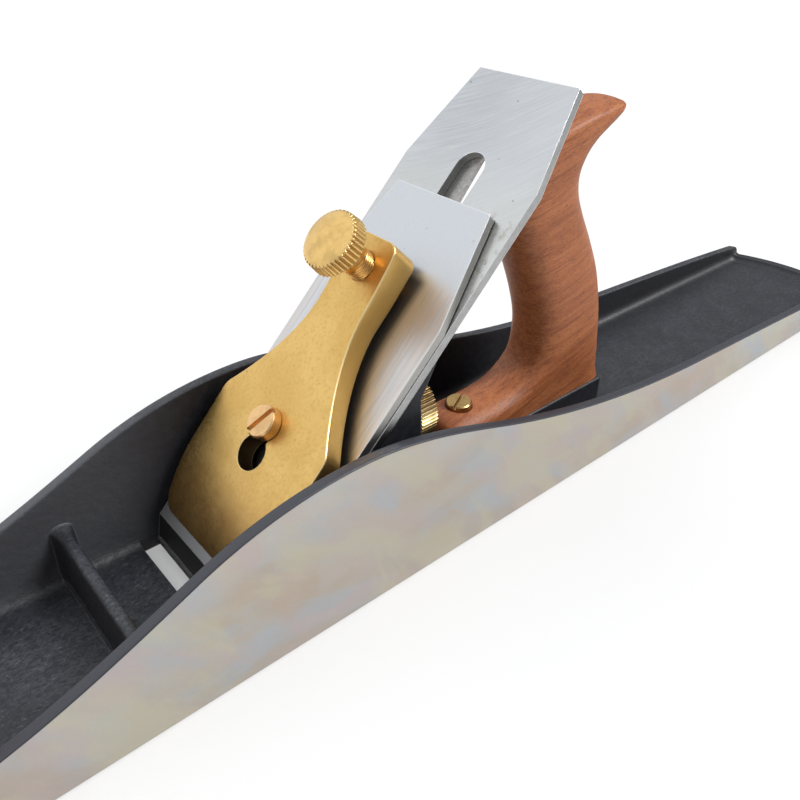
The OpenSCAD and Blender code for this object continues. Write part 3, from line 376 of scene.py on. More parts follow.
def tote_ring(rows, j, count):
    """One ring, thinned near the handle's front and top line by its round edge."""
    x0, z0, x1, z1, share, square = rows[j]
    line = [(r[2], r[3]) for r in rows[max(0, j - 40):j + 41:2]]
    edge_r = 8 - 3.5 * ease(z1, 118, 131)
    points = []
    for i in range(count):
        q = 2 * math.pi * i / count
        x = (x0 + x1) / 2 + (x1 - x0) / 2 * math.cos(q)
        z = (z0 + z1) / 2 + (z1 - z0) / 2 * math.cos(q)
        oval = share * max(0.0, 1 - abs(math.cos(q)) ** square) ** (1 / square)
        near = 1 - min(1.0, off_line(x, z, line) / edge_r)
        round_edge = (1 - near**2.2) ** (1 / 2.2)
        blend = max(0.0, 0.08 - abs(oval - round_edge))
        side = max(0.0, min(oval, round_edge) - blend * blend / 0.32)
        points.append(at_blade(x, math.copysign(side, math.sin(q)) * TOTE_W / 2, z))
    return points


def rod_point(reach):
    """A point along the handle's rod, up from the platform."""
    lean = math.atan2(ROD_TOP[0] - ROD_FOOT[0], ROD_TOP[1] - ROD_FOOT[1])
    return at_blade(ROD_FOOT[0] + reach * math.sin(lean), 0, ROD_FOOT[1] + reach * math.cos(lean))


def make_tote():
    rows = curve(TOTE_RINGS, 6)
    tote = lofted("rear_handle", [tote_ring(rows, j, 88) for j in range(len(rows))])
    rod_l = math.dist(ROD_FOOT, ROD_TOP)
    holes = [(rod_point(-3), rod_point(rod_l - 8), 3.3), (rod_point(rod_l - 9), rod_point(rod_l + 30), 6.5)]
    seat = TOTE_BASE_Z + 10.4
    for low, high, r in ((10, seat + 1, 2.8), (seat, 60, 5.5)):
        holes.append((at_blade(TOE_SCREW_X, 0, low), at_blade(TOE_SCREW_X, 0, high), r))
    for start, end, r in holes:
        combine(tote, cylinder(start, end, r * MM), "DIFFERENCE")
    return smooth(tote, 40)


# Front knob

KNOB_X = 95
KNOB_BASE = 9.05
KNOB_R = 20.5
KNOB_H = 58


def knob_place(x, y, z):
    return at_blade(KNOB_X + x, y, z)


def make_front_knob():
    waist = KNOB_R * 0.62
    body = [
        (KNOB_R - 1, 0), (KNOB_R - 1, 3), (KNOB_R - 3.5, 6), (waist, 13), (waist + 1, 20), (KNOB_R - 1.5, 31),
        (KNOB_R, 39), (KNOB_R - 1.6, 47), (KNOB_R * 0.68, 54), (KNOB_R * 0.4, KNOB_H - 0.8), (7.2, KNOB_H),
    ]
    bore = [(6.5, KNOB_H - 0.2), (6.5, KNOB_H - 9.5), (3.3, KNOB_H - 9.6), (3.3, 0)]
    profile = [(3.3, 0)] + curve(body, 10) + bore
    knob = turned("front_handle", [(r, KNOB_BASE + h) for r, h in profile[:-1]], 128, knob_place)
    combine(knob, cylinder(knob_place(0, 0, 0), knob_place(0, 0, 70), 3.3 * MM), "DIFFERENCE")
    return smooth(knob, 40)


# Lever cap

LEVER_HALF = 28.7
LEVER_NECK = 10.7
LEVER_LOW, LEVER_SHOULDER, LEVER_TOP = 20.5, 69.5, 133.5
LEVER_SCREW_S = 66.2
LEVER_FACE_H = 13
LEVER_RISE = math.tan(math.radians(1.72))
KEYHOLE_S = 56
THUMB_S = 123.5


def lever_half(s):
    """Half width of the lever cap at a place up the bed."""
    low_r, top_r, flare_l = 4.5, 3.8, 40
    if s < LEVER_LOW + low_r:
        return LEVER_HALF - low_r + math.sqrt(max(low_r**2 - (LEVER_LOW + low_r - s) ** 2, 0))
    if s < LEVER_SHOULDER - 3.5:
        return LEVER_HALF
    if s < LEVER_SHOULDER:
        return LEVER_HALF - 0.9 * ((s - LEVER_SHOULDER + 3.5) / 3.5) ** 2
    if s < LEVER_SHOULDER + flare_l:
        return LEVER_NECK + (LEVER_HALF - 0.9 - LEVER_NECK) * (1 - (s - LEVER_SHOULDER) / flare_l) ** 1.75
    if s < LEVER_TOP - top_r:
        return LEVER_NECK
    return LEVER_NECK - top_r + math.sqrt(max(top_r**2 - (s - LEVER_TOP + top_r) ** 2, 0))


def lever_face(s):
    """Height of the front face, which sweeps up at its top and curves down at its lower end."""
    straight = LEVER_FACE_H + (s - LEVER_SCREW_S) * LEVER_RISE
    sweep = 2.8 * (max(0.0, s - 95) / (LEVER_TOP - 95)) ** 2
    drop = 5.6 * max(0.0, 1 - (s - LEVER_LOW) / 26) ** 1.9
    return straight + sweep - drop


def lever_under(s):
    low = LEVER_LOW
    return along([(low, 5.12), (low + 2.5, 5.12), (low + 12, 5.8), (THUMB_S - 6, 5.8), (LEVER_TOP, 6.8)], s)


def lever_ring(s):
    """Section across the lever cap, with small round edges on its front."""
    w, top, low, r = lever_half(s), lever_face(s), lever_under(s), 0.6
    points = [(-w + (2 * w - 2 * r) * k / 16 + r, top) for k in range(17)]
    points += [(w - r + r * math.sin(q), top - r + r * math.cos(q)) for q in (0.4, 0.8, 1.2)]
    points += [(w, top - r), (w, low + 0.3), (w - 0.3, low), (-w + 0.3, low), (-w, low + 0.3), (-w, top - r)]
    points += [(-w + r - r * math.sin(q), top - r + r * math.cos(q)) for q in (1.2, 0.8, 0.4)]
    return [on_bed(s, -y, h) for y, h in points]


def make_lever_cap():
    low_end = [4.5 * (1 - math.cos(math.radians(q))) for q in range(2, 91, 8)]
    top_end = [3.8 * (1 - math.cos(math.radians(q))) for q in range(2, 91, 8)]
    stations = [LEVER_LOW + e for e in low_end]
    stations += [LEVER_LOW + 4.5 + (LEVER_TOP - LEVER_LOW - 8.3) * k / 90 for k in range(1, 90)]
    stations += [LEVER_TOP - e for e in reversed(top_end)]
    cap = lofted("lever_cap_casting", [lever_ring(s) for s in stations])
    slot_half = 3.7
    turns = [math.pi * k / 24 for k in range(1, 24)]
    outline = [(KEYHOLE_S, slot_half), (LEVER_SCREW_S, slot_half)]
    outline += [(LEVER_SCREW_S + slot_half * math.sin(q), slot_half * math.cos(q)) for q in turns]
    outline += [(LEVER_SCREW_S, -slot_half), (KEYHOLE_S, -slot_half)]
    slot = lofted("cutter", [[on_bed(s, y, h) for s, y in outline] for h in (0, 30)])
    keyhole = cylinder(on_bed(KEYHOLE_S, 0, 0), on_bed(KEYHOLE_S, 0, 30), 6 * MM)
    thumb_hole = cylinder(on_bed(THUMB_S, 0, 0), on_bed(THUMB_S, 0, 30), 5.05 * MM)
    for cutter in (keyhole, slot, thumb_hole):
        combine(cap, cutter, "DIFFERENCE")
    return smooth(cap, 30)


# Thumbscrew

THUMB_R = 10.2
THUMB_H = 7.6
THUMB_LOW = lever_face(THUMB_S) + 11.5
THUMB_RIM = 5.1
THUMB_TEETH = 40


def thumb_place(x, y, h):
    return on_bed(THUMB_S + x, y, h)


def make_thumb_knob():
    """Domed knob with a coarse straight knurl round its rim, and a blind hole from below."""
    base = THUMB_LOW + 0.05
    dome = THUMB_H - THUMB_RIM
    rim_top = 9.75
    profile = [(0.05, 4.7), (3.05, 4.7), (3.05, 0), (8.9, 0), (9.5, 0.08), (THUMB_R, 0.3)]
    profile += [(THUMB_R + (rim_top - THUMB_R) * k / 7, 0.3 + (THUMB_RIM - 0.5) * k / 7) for k in range(1, 8)]
    turns = [math.radians(k * 4) for k in range(1, 22)]
    profile += [(rim_top * math.cos(q), THUMB_RIM - 0.2 + (dome + 0.2) * math.sin(q) ** 1.4) for q in turns]
    profile += [(0.2, THUMB_H - 0.003)]

    def knurl(r, h, q):
        """Grooves cut straight down the rim, which run out in the dome."""
        if r < 8.95:
            return r
        wave = (0.5 - 0.5 * math.cos(THUMB_TEETH * q)) ** 1.5
        return min(r, THUMB_R - 0.08 * max(0.0, h - base) - 0.75 * wave)

    shape = [(r, base + h) for r, h in profile]
    return smooth(turned("thumbscrew_head", shape, THUMB_TEETH * 12, thumb_place, knurl), 50)


def make_thumb_stem():
    """Threaded stem with a plain neck, and a pin that the knob turns on."""
    low = 3.45
    pitch = 1.0
    steps = 240
    profile = [(0.1, low), (4.0, low)]
    profile += [(4.98, low + 0.8 + (THUMB_LOW - low - 0.8) * k / steps) for k in range(steps + 1)]
    profile += [(3, THUMB_LOW), (3, THUMB_LOW + 4.4), (0.1, THUMB_LOW + 4.4)]

    def thread(r, h, q):
        if r < 4.9:
            return r
        phase = h / pitch - q / (2 * math.pi)
        fade = ease(h, THUMB_LOW - 5, THUMB_LOW - 8.5)
        return r - 0.32 * fade * (0.5 - 0.5 * math.cos(2 * math.pi * phase))

    return smooth(turned("thumbscrew_thread", profile, 96, thumb_place, thread), 60)


# Materials, with colours as linear values


class Net:
    """Short calls for building one material's nodes."""

    def __init__(self, name):
        self.material = bpy.data.materials.new(name)
        self.material.use_nodes = True
        self.tree = self.material.node_tree
        self.tree.nodes.clear()
        self.out = self.node("ShaderNodeOutputMaterial")
        self.bsdf = self.node("ShaderNodeBsdfPrincipled")
        self.link(self.bsdf.outputs["BSDF"], self.out.inputs["Surface"])
        self.place = self.node("ShaderNodeTexCoord").outputs["Object"]

    def node(self, kind, **values):
        made = self.tree.nodes.new(kind)
        for key, value in values.items():
            setattr(made, key, value)
        return made

    def link(self, source, target):
        self.tree.links.new(source, target)

    def put(self, target, value):
        if isinstance(value, bpy.types.NodeSocket):
            self.link(value, target)
        else:
            target.default_value = value

    def math(self, operation, a, b=0.0, clamp=False):
        made = self.node("ShaderNodeMath", operation=operation, use_clamp=clamp)
        self.put(made.inputs[0], a)
        self.put(made.inputs[1], b)
        return made.outputs[0]

    def both(self, *values):
        """Product of several masks."""
        result = values[0]
        for value in values[1:]:
            result = self.math("MULTIPLY", result, value)
        return result

    def ramp(self, value, low, high, to_low=0.0, to_high=1.0):
        made = self.node("ShaderNodeMapRange", interpolation_type="SMOOTHSTEP")
        for key, number in (("From Min", low), ("From Max", high), ("To Min", to_low), ("To Max", to_high)):
            made.inputs[key].default_value = number
        self.put(made.inputs["Value"], value)
        return made.outputs["Result"]

    def band(self, value, middle, half, soft):
        """1 within half of the middle, fading to 0 over soft."""
        off = self.math("ABSOLUTE", self.math("SUBTRACT", value, middle))
        return self.ramp(off, half + soft, half)

    def mix(self, factor, a, b):
        made = self.node("ShaderNodeMix", data_type="RGBA")
        self.put(made.inputs[0], factor)
        self.put(made.inputs[6], a)
        self.put(made.inputs[7], b)
        return made.outputs[2]

    def parts(self, vector):
        made = self.node("ShaderNodeSeparateXYZ")
        self.link(vector, made.inputs[0])
        return made.outputs

    def joined(self, x, y, z):
        made = self.node("ShaderNodeCombineXYZ")
        for socket, value in zip(made.inputs, (x, y, z)):
            self.put(socket, value)
        return made.outputs[0]

    def facing(self):
        """The way the surface looks, as x, y and z."""
        return self.parts(self.node("ShaderNodeNewGeometry").outputs["True Normal"])

    def out_of_bed(self):
        """1 where the surface looks square out of the bed, 0 on its side walls."""
        x, _, z = self.facing()
        return self.math("MULTIPLY", self.math("ADD", z, x), math.cos(BED_ANGLE))

    def sole_place(self):
        """Place from the blade line in millimetres, as x, y and z."""
        x, y, z = (self.math("MULTIPLY", part, 1000.0) for part in self.parts(self.place))
        return self.math("SUBTRACT", x, float(BLADE_X)), y, z

    def bed_place(self):
        """Place on the bed in millimetres, as s, y and h."""
        x, y, z = self.sole_place()
        c = math.cos(BED_ANGLE)
        s = self.math("MULTIPLY", self.math("SUBTRACT", z, x), c)
        return s, y, self.math("MULTIPLY", self.math("ADD", z, x), c)

    def stretched(self, scale, turn=(0, 0, 0)):
        """Object coordinates turned and then stretched, so that noise runs in streaks."""
        turned_place = self.node("ShaderNodeVectorRotate", rotation_type="EULER_XYZ")
        self.link(self.place, turned_place.inputs["Vector"])
        turned_place.inputs["Rotation"].default_value = turn
        made = self.node("ShaderNodeVectorMath", operation="MULTIPLY")
        self.link(turned_place.outputs["Vector"], made.inputs[0])
        made.inputs[1].default_value = scale
        return made.outputs["Vector"]

    def noise(self, scale, detail=3.0, rough=0.55, vector=None, distort=0.0):
        made = self.node("ShaderNodeTexNoise")
        self.link(vector or self.place, made.inputs["Vector"])
        made.inputs["Scale"].default_value = scale
        made.inputs["Detail"].default_value = detail
        made.inputs["Roughness"].default_value = rough
        made.inputs["Distortion"].default_value = distort
        return made.outputs["Fac"]

    def rounded(self, radius):
        made = self.node("ShaderNodeBevel", samples=6)
        made.inputs["Radius"].default_value = radius
        return made.outputs["Normal"]

    def edge_wear_and_highlight(self, radius):
        """How near a sharp edge is, from 0 on a flat face to 1 at the edge; it marks worn edges and edges given a
        painted highlight.
        """
        soft = self.rounded(radius)
        true = self.node("ShaderNodeNewGeometry").outputs["True Normal"]
        dot = self.node("ShaderNodeVectorMath", operation="DOT_PRODUCT")
        self.link(soft, dot.inputs[0])
        self.link(true, dot.inputs[1])
        return self.ramp(dot.outputs["Value"], 0.995, 0.86)

    def bump(self, height, distance, strength=1.0, normal=None):
        made = self.node("ShaderNodeBump")
        self.put(made.inputs["Height"], height)
        made.inputs["Distance"].default_value = distance
        self.put(made.inputs["Strength"], strength)
        if normal is not None:
            self.link(normal, made.inputs["Normal"])
        return made.outputs["Normal"]

    def finish(self, color, rough, metal=0.0, normal=None, **more):
        self.put(self.bsdf.inputs["Base Color"], color)
        self.put(self.bsdf.inputs["Roughness"], rough)
        self.put(self.bsdf.inputs["Metallic"], metal)
        if normal is not None:
            self.link(normal, self.bsdf.inputs["Normal"])
        for key, value in more.items():
            self.put(self.bsdf.inputs[key.replace("_", " ")], value)
        return self.material


def paint_layers(net, lumpy, worn, dust_and_sheen):
    """Black paint over a cast skin: colour, roughness and normal.

    lumpy scales the relief, worn the bare edges, and the last argument a grey film on what looks up, which is dust
    and painted sheen of light from above.
    """
    grain = net.noise(1500, 3, 0.6)
    lump = net.noise(330, 3, 0.5)
    up = net.ramp(net.facing()[2], 0.25, 0.9)
    flake = net.noise(620, 5, 0.72, net.stretched((1, 1.6, 1)), 0.6)
    paint = net.mix(net.ramp(lump, 0.35, 0.7), (0.007, 0.0075, 0.011, 1), (0.014, 0.0145, 0.020, 1))
    # Grey film on faces that look up: dust, and painted sheen of light from above
    film = net.mix(net.ramp(net.noise(110, 3, 0.5), 0.3, 0.7), (0.032, 0.034, 0.043, 1), (0.052, 0.055, 0.067, 1))
    film = net.mix(net.ramp(flake, 0.54, 0.40, 0, 0.8), film, (0.012, 0.0125, 0.016, 1))
    film = net.mix(net.ramp(flake, 0.58, 0.70, 0, 0.7), film, (0.17, 0.175, 0.18, 1))
    paint = net.mix(net.both(up, dust_and_sheen), paint, film)
    scuffed = net.both(net.edge_wear_and_highlight(1.0 * MM), net.ramp(grain, 0.35, 0.6), worn)
    paint = net.mix(scuffed, paint, (0.11, 0.115, 0.13, 1))
    rough = net.math("SUBTRACT", net.ramp(grain, 0.3, 0.7, 0.50, 0.64), net.math("MULTIPLY", up, 0.12))
    height = net.math("ADD", net.math("MULTIPLY", grain, 0.5), net.math("MULTIPLY", lump, 1.5))
    height = net.math("ADD", height, net.math("MULTIPLY", flake, 0.7))
    return paint, rough, net.bump(height, 0.18 * MM, lumpy, net.rounded(0.5 * MM))


def side_steel(net, x, z):
    """Bare ground steel of the cheeks: faint tan, blue, pink and yellow clouds over a soft grey, with painted light
    at the top and painted shade towards the bottom.
    """
    steel = net.mix(net.ramp(x, -15, 75), (0.49, 0.445, 0.395, 1), (0.43, 0.43, 0.43, 1))
    steel = net.mix(net.ramp(x, -60, -150), steel, (0.50, 0.455, 0.405, 1))
    steel = net.mix(net.ramp(x, -210, -320), steel, (0.49, 0.505, 0.50, 1))
    # Lighter towards the top and darker towards the bottom: painted light and shade of the floor that the steel
    # mirrors
    steel = net.mix(net.ramp(z, 36, 56, 0, 0.6), steel, (0.54, 0.535, 0.51, 1))
    steel = net.mix(net.ramp(z, 22, 4, 0, 0.5), steel, (0.41, 0.37, 0.33, 1))
    clouds = [
        (17, (0.46, 0.37, 0.285, 1), 0.0), (23, (0.41, 0.46, 0.515, 1), 0.3),
        (29, (0.51, 0.42, 0.40, 1), 0.6), (26, (0.53, 0.50, 0.38, 1), 0.9),
    ]
    for scale, tint, turn in clouds:
        place = net.stretched((1, 1, 1.9), (0, turn, 0))
        steel = net.mix(net.ramp(net.noise(scale, 4, 0.55, place, 0.7), 0.45, 0.64, 0, 0.6), steel, tint)
    return steel


def casting_material():
    """Black paint inside, bare ground steel on the outer faces."""
    net = Net("casting_paint_and_steel")
    x, y, z = net.sole_place()
    from_middle = net.math("ADD", x, SOLE_L / 2 - TOE_X)
    outward = net.math("MULTIPLY", net.facing()[0], net.math("SIGN", from_middle))
    end = net.both(net.ramp(outward, 0.80, 0.88), net.ramp(net.math("ABSOLUTE", from_middle), 268, 269))
    side = net.ramp(net.math("ABSOLUTE", y), HALF_W - 0.12, HALF_W - 0.04)
    bare = net.math("MAXIMUM", net.math("MAXIMUM", side, end), net.ramp(z, 0.35, 0.15))
    steel = side_steel(net, x, z)
    grind = net.noise(900, 2, 0.6, net.stretched((0.05, 1, 1), (0, math.radians(8), 0)))

    throat = net.both(net.ramp(x, -1, 2), net.ramp(y, 31.5, 30))
    far_rim = net.both(net.ramp(y, -32, -33.5), net.ramp(x, -35, 15))
    lumpy = net.math("ADD", 0.40, net.math("MULTIPLY", net.math("MAXIMUM", throat, far_rim), 0.6))
    # Dust and painted sheen from above: most towards the toe and the far side, and on the far rim
    dust_and_sheen = net.both(net.ramp(x, -30, 0, 0.5, 1.0), net.ramp(y, -30, -12, 0.45, 1.0), net.ramp(y, 33.4, 32.8))
    dust_and_sheen = net.math("MAXIMUM", dust_and_sheen, net.ramp(y, -32, -33.5))
    paint, rough, cast = paint_layers(net, lumpy, 0.8, dust_and_sheen)
    # Painted sheen: the tops of both rims are lighter, as light from above shows on the paint
    near_rim_sheen = net.both(net.ramp(y, 32.8, 33.4), net.ramp(net.facing()[2], 0.4, 0.9))
    paint = net.mix(near_rim_sheen, paint, (0.042, 0.044, 0.055, 1))
    paint = net.mix(net.both(far_rim, 0.7), paint, (0.085, 0.088, 0.10, 1))

    ground = net.bump(grind, 0.006 * MM, 0.5, net.rounded(0.25 * MM))
    pick = net.node("ShaderNodeMix", data_type="VECTOR")
    net.put(pick.inputs[0], bare)
    net.put(pick.inputs[4], cast)
    net.put(pick.inputs[5], ground)
    rough = net.math("ADD", rough, net.math("MULTIPLY", bare, -0.22))
    return net.finish(net.mix(bare, paint, steel), rough, bare, pick.outputs[1])


def frog_material():
    """Black casting whose machined face, under the irons, shows bare along its edge."""
    net = Net("frog_paint")
    _, _, h = net.bed_place()
    paint, rough, normal = paint_layers(net, 0.5, 0.7, 0.3)
    ragged = net.math("ADD", h, net.math("MULTIPLY", net.noise(420, 3, 0.6), 0.9))
    bare = net.both(net.ramp(ragged, -3.25, -3.0), 0.85)
    return net.finish(net.mix(bare, paint, (0.36, 0.33, 0.27, 1)), rough, 0.0, normal)


def iron_material():
    """Ground face of the cutting iron: faint curved grind lines, soft stains and a few dark specks."""
    net = Net("ground_iron")
    s, y, h = net.bed_place()
    bend = net.math("MULTIPLY", net.math("POWER", y, 2.0), 0.006)
    lines = net.math("SUBTRACT", net.math("SUBTRACT", s, net.math("MULTIPLY", y, 0.7)), bend)
    run = net.math("MULTIPLY", net.math("ADD", y, net.math("MULTIPLY", s, 0.6)), 0.035)
    fine = net.noise(1.0, 4, 0.7, net.joined(net.math("MULTIPLY", lines, 1.7), run, h))
    broad = net.noise(1.0, 2, 0.5, net.joined(net.math("MULTIPLY", lines, 0.20), run, 0.0))
    cloud = net.noise(42, 3, 0.5)
    base = net.mix(net.ramp(fine, 0.30, 0.70), (0.615, 0.635, 0.660, 1), (0.465, 0.485, 0.515, 1))
    base = net.mix(net.ramp(broad, 0.40, 0.62, 0, 0.40), base, (0.50, 0.52, 0.545, 1))
    base = net.mix(net.ramp(y, -12, 26, 0, 0.45), base, (0.66, 0.675, 0.69, 1))
    base = net.mix(net.ramp(s, 185, 145, 0, 0.6), base, (0.68, 0.69, 0.665, 1))
    base = net.mix(net.ramp(cloud, 0.48, 0.68, 0, 0.18), base, (0.53, 0.51, 0.46, 1))
    smudge = net.both(net.ramp(net.math("ADD", s, net.math("MULTIPLY", y, 0.08)), 163, 157.5),
                      net.ramp(net.noise(380, 4, 0.65), 0.50, 0.66), net.ramp(y, -6, 14, 0.25, 1), 0.4)
    base = net.mix(smudge, base, (0.27, 0.24, 0.16, 1))
    specks = [(196.3, 2.2, 0.42), (164.7, 23.4, 0.40), (143.5, 27.7, 0.45), (199, -21.4, 0.5), (176, 9, 0.3)]
    for at_s, at_y, size in specks:
        away = net.node("ShaderNodeVectorMath", operation="DISTANCE")
        net.link(net.joined(s, y, 0.0), away.inputs[0])
        away.inputs[1].default_value = (at_s, at_y, 0)
        base = net.mix(net.ramp(away.outputs["Value"], size, size * 0.5, 0, 0.6), base, (0.16, 0.14, 0.12, 1))
    # Painted shade: the side walls are darker
    wall = net.ramp(net.out_of_bed(), 0.6, 0.3)
    base = net.mix(net.both(wall, net.ramp(net.noise(300, 3, 0.6), 0.3, 0.7, 0.75, 1)), base, (0.36, 0.36, 0.355, 1))
    # Bright edge lines: worn metal with a painted highlight
    base = net.mix(net.both(net.edge_wear_and_highlight(0.6 * MM), 0.9), base, (0.96, 0.97, 0.98, 1))
    normal = net.bump(fine, 0.012 * MM, 0.6, net.rounded(0.45 * MM))
    return net.finish(base, net.ramp(fine, 0.3, 0.7, 0.27, 0.33), 1.0, normal)


def cap_iron_material():
    """Cap iron: satin above the lever cap's shoulder, brushed and glossy below with painted reflections, pale at its
    hump.
    """
    net = Net("brushed_cap_iron")
    s, y, h = net.bed_place()
    grain = net.noise(2600, 3, 0.7)
    streak = net.noise(1.0, 3, 0.6, net.joined(net.math("MULTIPLY", s, 0.045), net.math("MULTIPLY", y, 1.3), h))
    broad = net.noise(1.0, 2, 0.5, net.joined(net.math("MULTIPLY", s, 0.02), net.math("MULTIPLY", y, 0.30), 0.0))
    satin = net.ramp(s, 128.5, 131.5)
    # Brushed streaks below the shoulder, which also serve as painted reflection bands, tan in places
    glossy = net.mix(net.ramp(streak, 0.35, 0.65), (0.68, 0.68, 0.69, 1), (0.57, 0.58, 0.61, 1))
    glossy = net.mix(net.ramp(broad, 0.42, 0.62, 0, 0.5), glossy, (0.72, 0.66, 0.61, 1))
    # Painted shadow and reflection: a dark band beside the lever cap's walls
    flare = net.math("MAXIMUM", net.math("DIVIDE", net.math("SUBTRACT", LEVER_SHOULDER + 40.0, s), 40.0), 0.0)
    lever_wall = net.math("ADD", float(LEVER_NECK), net.math("MULTIPLY", net.math("POWER", flare, 1.75), 17.1))
    from_wall = net.math("SUBTRACT", net.math("ABSOLUTE", y), lever_wall)
    glossy = net.mix(net.ramp(from_wall, 5.5, 1.0, 0, 0.75), glossy, (0.11, 0.10, 0.09, 1))
    dull = net.mix(net.ramp(grain, 0.35, 0.68), (0.640, 0.670, 0.710, 1), (0.585, 0.615, 0.655, 1))
    dull = net.mix(net.ramp(streak, 0.36, 0.66, 0, 0.55), dull, (0.66, 0.67, 0.68, 1))
    base = net.mix(satin, glossy, dull)
    hump = net.ramp(s, 27, 22)
    base = net.mix(hump, base, (0.42, 0.425, 0.43, 1))
    # Painted shade on the front slope of the hump
    front = net.ramp(net.out_of_bed(), 0.95, 0.90)
    base = net.mix(net.both(front, hump), base, (0.085, 0.08, 0.075, 1))
    speck = net.ramp(net.noise(480, 2, 0.5), 0.73, 0.78, 0, 0.3)
    base = net.mix(speck, base, (0.24, 0.21, 0.18, 1))
    # Painted shade: the side walls are darker
    sideways = net.ramp(net.math("ABSOLUTE", net.facing()[1]), 0.7, 0.9)
    base = net.mix(sideways, base, (0.40, 0.39, 0.37, 1))
    base = net.mix(net.both(sideways, net.ramp(h, 1.0, 0.6), 0.8), base, (0.10, 0.07, 0.05, 1))
    # Bright edge lines: worn metal with a painted highlight
    base = net.mix(net.both(net.edge_wear_and_highlight(0.9 * MM), 0.9), base, (0.96, 0.97, 0.98, 1))
    brushed = net.math("MULTIPLY", streak, net.math("SUBTRACT", 1.0, net.math("MULTIPLY", satin, 0.8)))
    normal = net.bump(brushed, 0.03 * MM, 0.6, net.rounded(0.45 * MM))
    rough = net.math("ADD", net.ramp(streak, 0.3, 0.7, 0.36, 0.44), net.math("MULTIPLY", satin, -0.02))
    return net.finish(base, net.math("ADD", rough, net.math("MULTIPLY", hump, 0.15)), 1.0, normal)


def bronze_material():
    """Satin bronze of the lever cap, with casting pits, dirty walls, painted shade at its low end and in its holes,
    and a bright line on its edges of worn metal and painted highlight.
    """
    net = Net("satin_bronze")
    s, y, h = net.bed_place()
    cloud = net.noise(60, 4, 0.55)
    fine = net.noise(900, 3, 0.65)
    base = net.mix(net.ramp(cloud, 0.35, 0.65), (0.80, 0.535, 0.190, 1), (0.71, 0.455, 0.145, 1))
    base = net.mix(net.ramp(fine, 0.46, 0.72, 0, 0.40), base, (0.56, 0.34, 0.10, 1))
    # Painted shade: darker and mottled towards the low end, where the face curves down
    low_end_shade = net.both(net.ramp(s, 58, 26), net.ramp(net.noise(95, 4, 0.6), 0.35, 0.65, 0.35, 0.9))
    base = net.mix(low_end_shade, base, (0.60, 0.335, 0.12, 1))
    pit = net.ramp(net.noise(330, 2, 0.5), 0.72, 0.78)
    base = net.mix(net.both(pit, 0.7), base, (0.12, 0.07, 0.03, 1))
    out = net.out_of_bed()
    sideways = net.math("ABSOLUTE", net.facing()[1])
    wall = net.ramp(out, 0.45, 0.10)
    base = net.mix(net.both(wall, net.ramp(cloud, 0.40, 0.7, 0.5, 0.9)), base, (0.70, 0.41, 0.115, 1))
    # Painted shade on the walls of the keyhole and the slot
    inside = net.ramp(net.math("ABSOLUTE", y), 6.4, 6.1)
    base = net.mix(net.both(wall, inside, 0.9), base, (0.17, 0.115, 0.07, 1))
    # Bright edge line: worn metal with a painted highlight
    edge = net.both(net.ramp(out, 0.985, 0.95), net.ramp(out, 0.15, 0.35), net.ramp(sideways, 0.1, 0.25))
    base = net.mix(net.both(net.math("MAXIMUM", edge, net.edge_wear_and_highlight(0.7 * MM)), 0.7), base, (1.0, 0.84, 0.48, 1))
    height = net.math("SUBTRACT", net.math("MULTIPLY", fine, 0.5), pit)
    normal = net.bump(height, 0.025 * MM, 0.7, net.rounded(0.5 * MM))
    return net.finish(base, net.ramp(fine, 0.3, 0.7, 0.33, 0.43), 1.0, normal)


def brass_material(name, tint, low, high, groove=None):
    """Turned brass with darker clouds and bright edges of worn metal and painted highlight; groove gives the outer
    radius of painted shade in a knurl's grooves.
    """
    net = Net(name)
    cloud = net.noise(260, 4, 0.6)
    fine = net.noise(1500, 2, 0.6)
    dark = tuple(0.80 * c for c in tint[:3]) + (1,)
    base = net.mix(net.ramp(cloud, 0.38, 0.68), tint, dark)
    base = net.mix(net.ramp(fine, 0.45, 0.75, 0, 0.35), base, dark)
    # Bright edges: worn metal with a painted highlight
    base = net.mix(net.both(net.edge_wear_and_highlight(0.3 * MM), 0.7), base, (1.0, 0.82, 0.46, 1))
    if groove:
        s, y, h = net.bed_place()
        off = net.math("SUBTRACT", s, float(THUMB_S))
        out = net.math("SQRT", net.math("ADD", net.math("POWER", off, 2.0), net.math("POWER", y, 2.0)))
        # Painted shade in the knurl's grooves
        groove_shade = net.both(net.ramp(out, groove, groove - 0.35), net.ramp(out, 8.6, 8.8))
        groove_shade = net.both(groove_shade, net.ramp(net.out_of_bed(), 0.35, 0.2))
        base = net.mix(net.both(groove_shade, 0.6), base, (0.40, 0.23, 0.08, 1))
    normal = net.bump(fine, 0.014 * MM, 0.6, net.rounded(0.2 * MM))
    return net.finish(base, net.ramp(cloud, 0.3, 0.7, low, high), 1.0, normal)


def wheel_material():
    """Worn brass of the depth wheel: pale ridges of worn metal and painted highlight, and painted shade in the
    valleys of the knurl.
    """
    net = Net("worn_wheel_brass")
    x, y, z = net.sole_place()
    cloud = net.noise(160, 4, 0.6)
    up = net.math("SUBTRACT", z, 39.0)
    out = net.math("SQRT", net.math("ADD", net.math("POWER", y, 2.0), net.math("POWER", up, 2.0)))
    base = net.mix(net.ramp(cloud, 0.38, 0.66), (0.60, 0.43, 0.19, 1), (0.42, 0.28, 0.11, 1))
    # Painted shade in the knurl's valleys
    valley_shade = net.both(net.ramp(out, 13.25, 12.95), net.ramp(x, -91.2, -91.0 + 0.4, 1, 0))
    base = net.mix(net.both(valley_shade, 0.85), base, (0.03, 0.022, 0.015, 1))
    # Pale ridges: worn metal with a painted highlight
    base = net.mix(net.both(net.edge_wear_and_highlight(0.3 * MM), 0.35), base, (0.90, 0.72, 0.40, 1))
    return net.finish(base, net.ramp(cloud, 0.3, 0.7, 0.26, 0.40), 1.0, net.rounded(0.15 * MM))


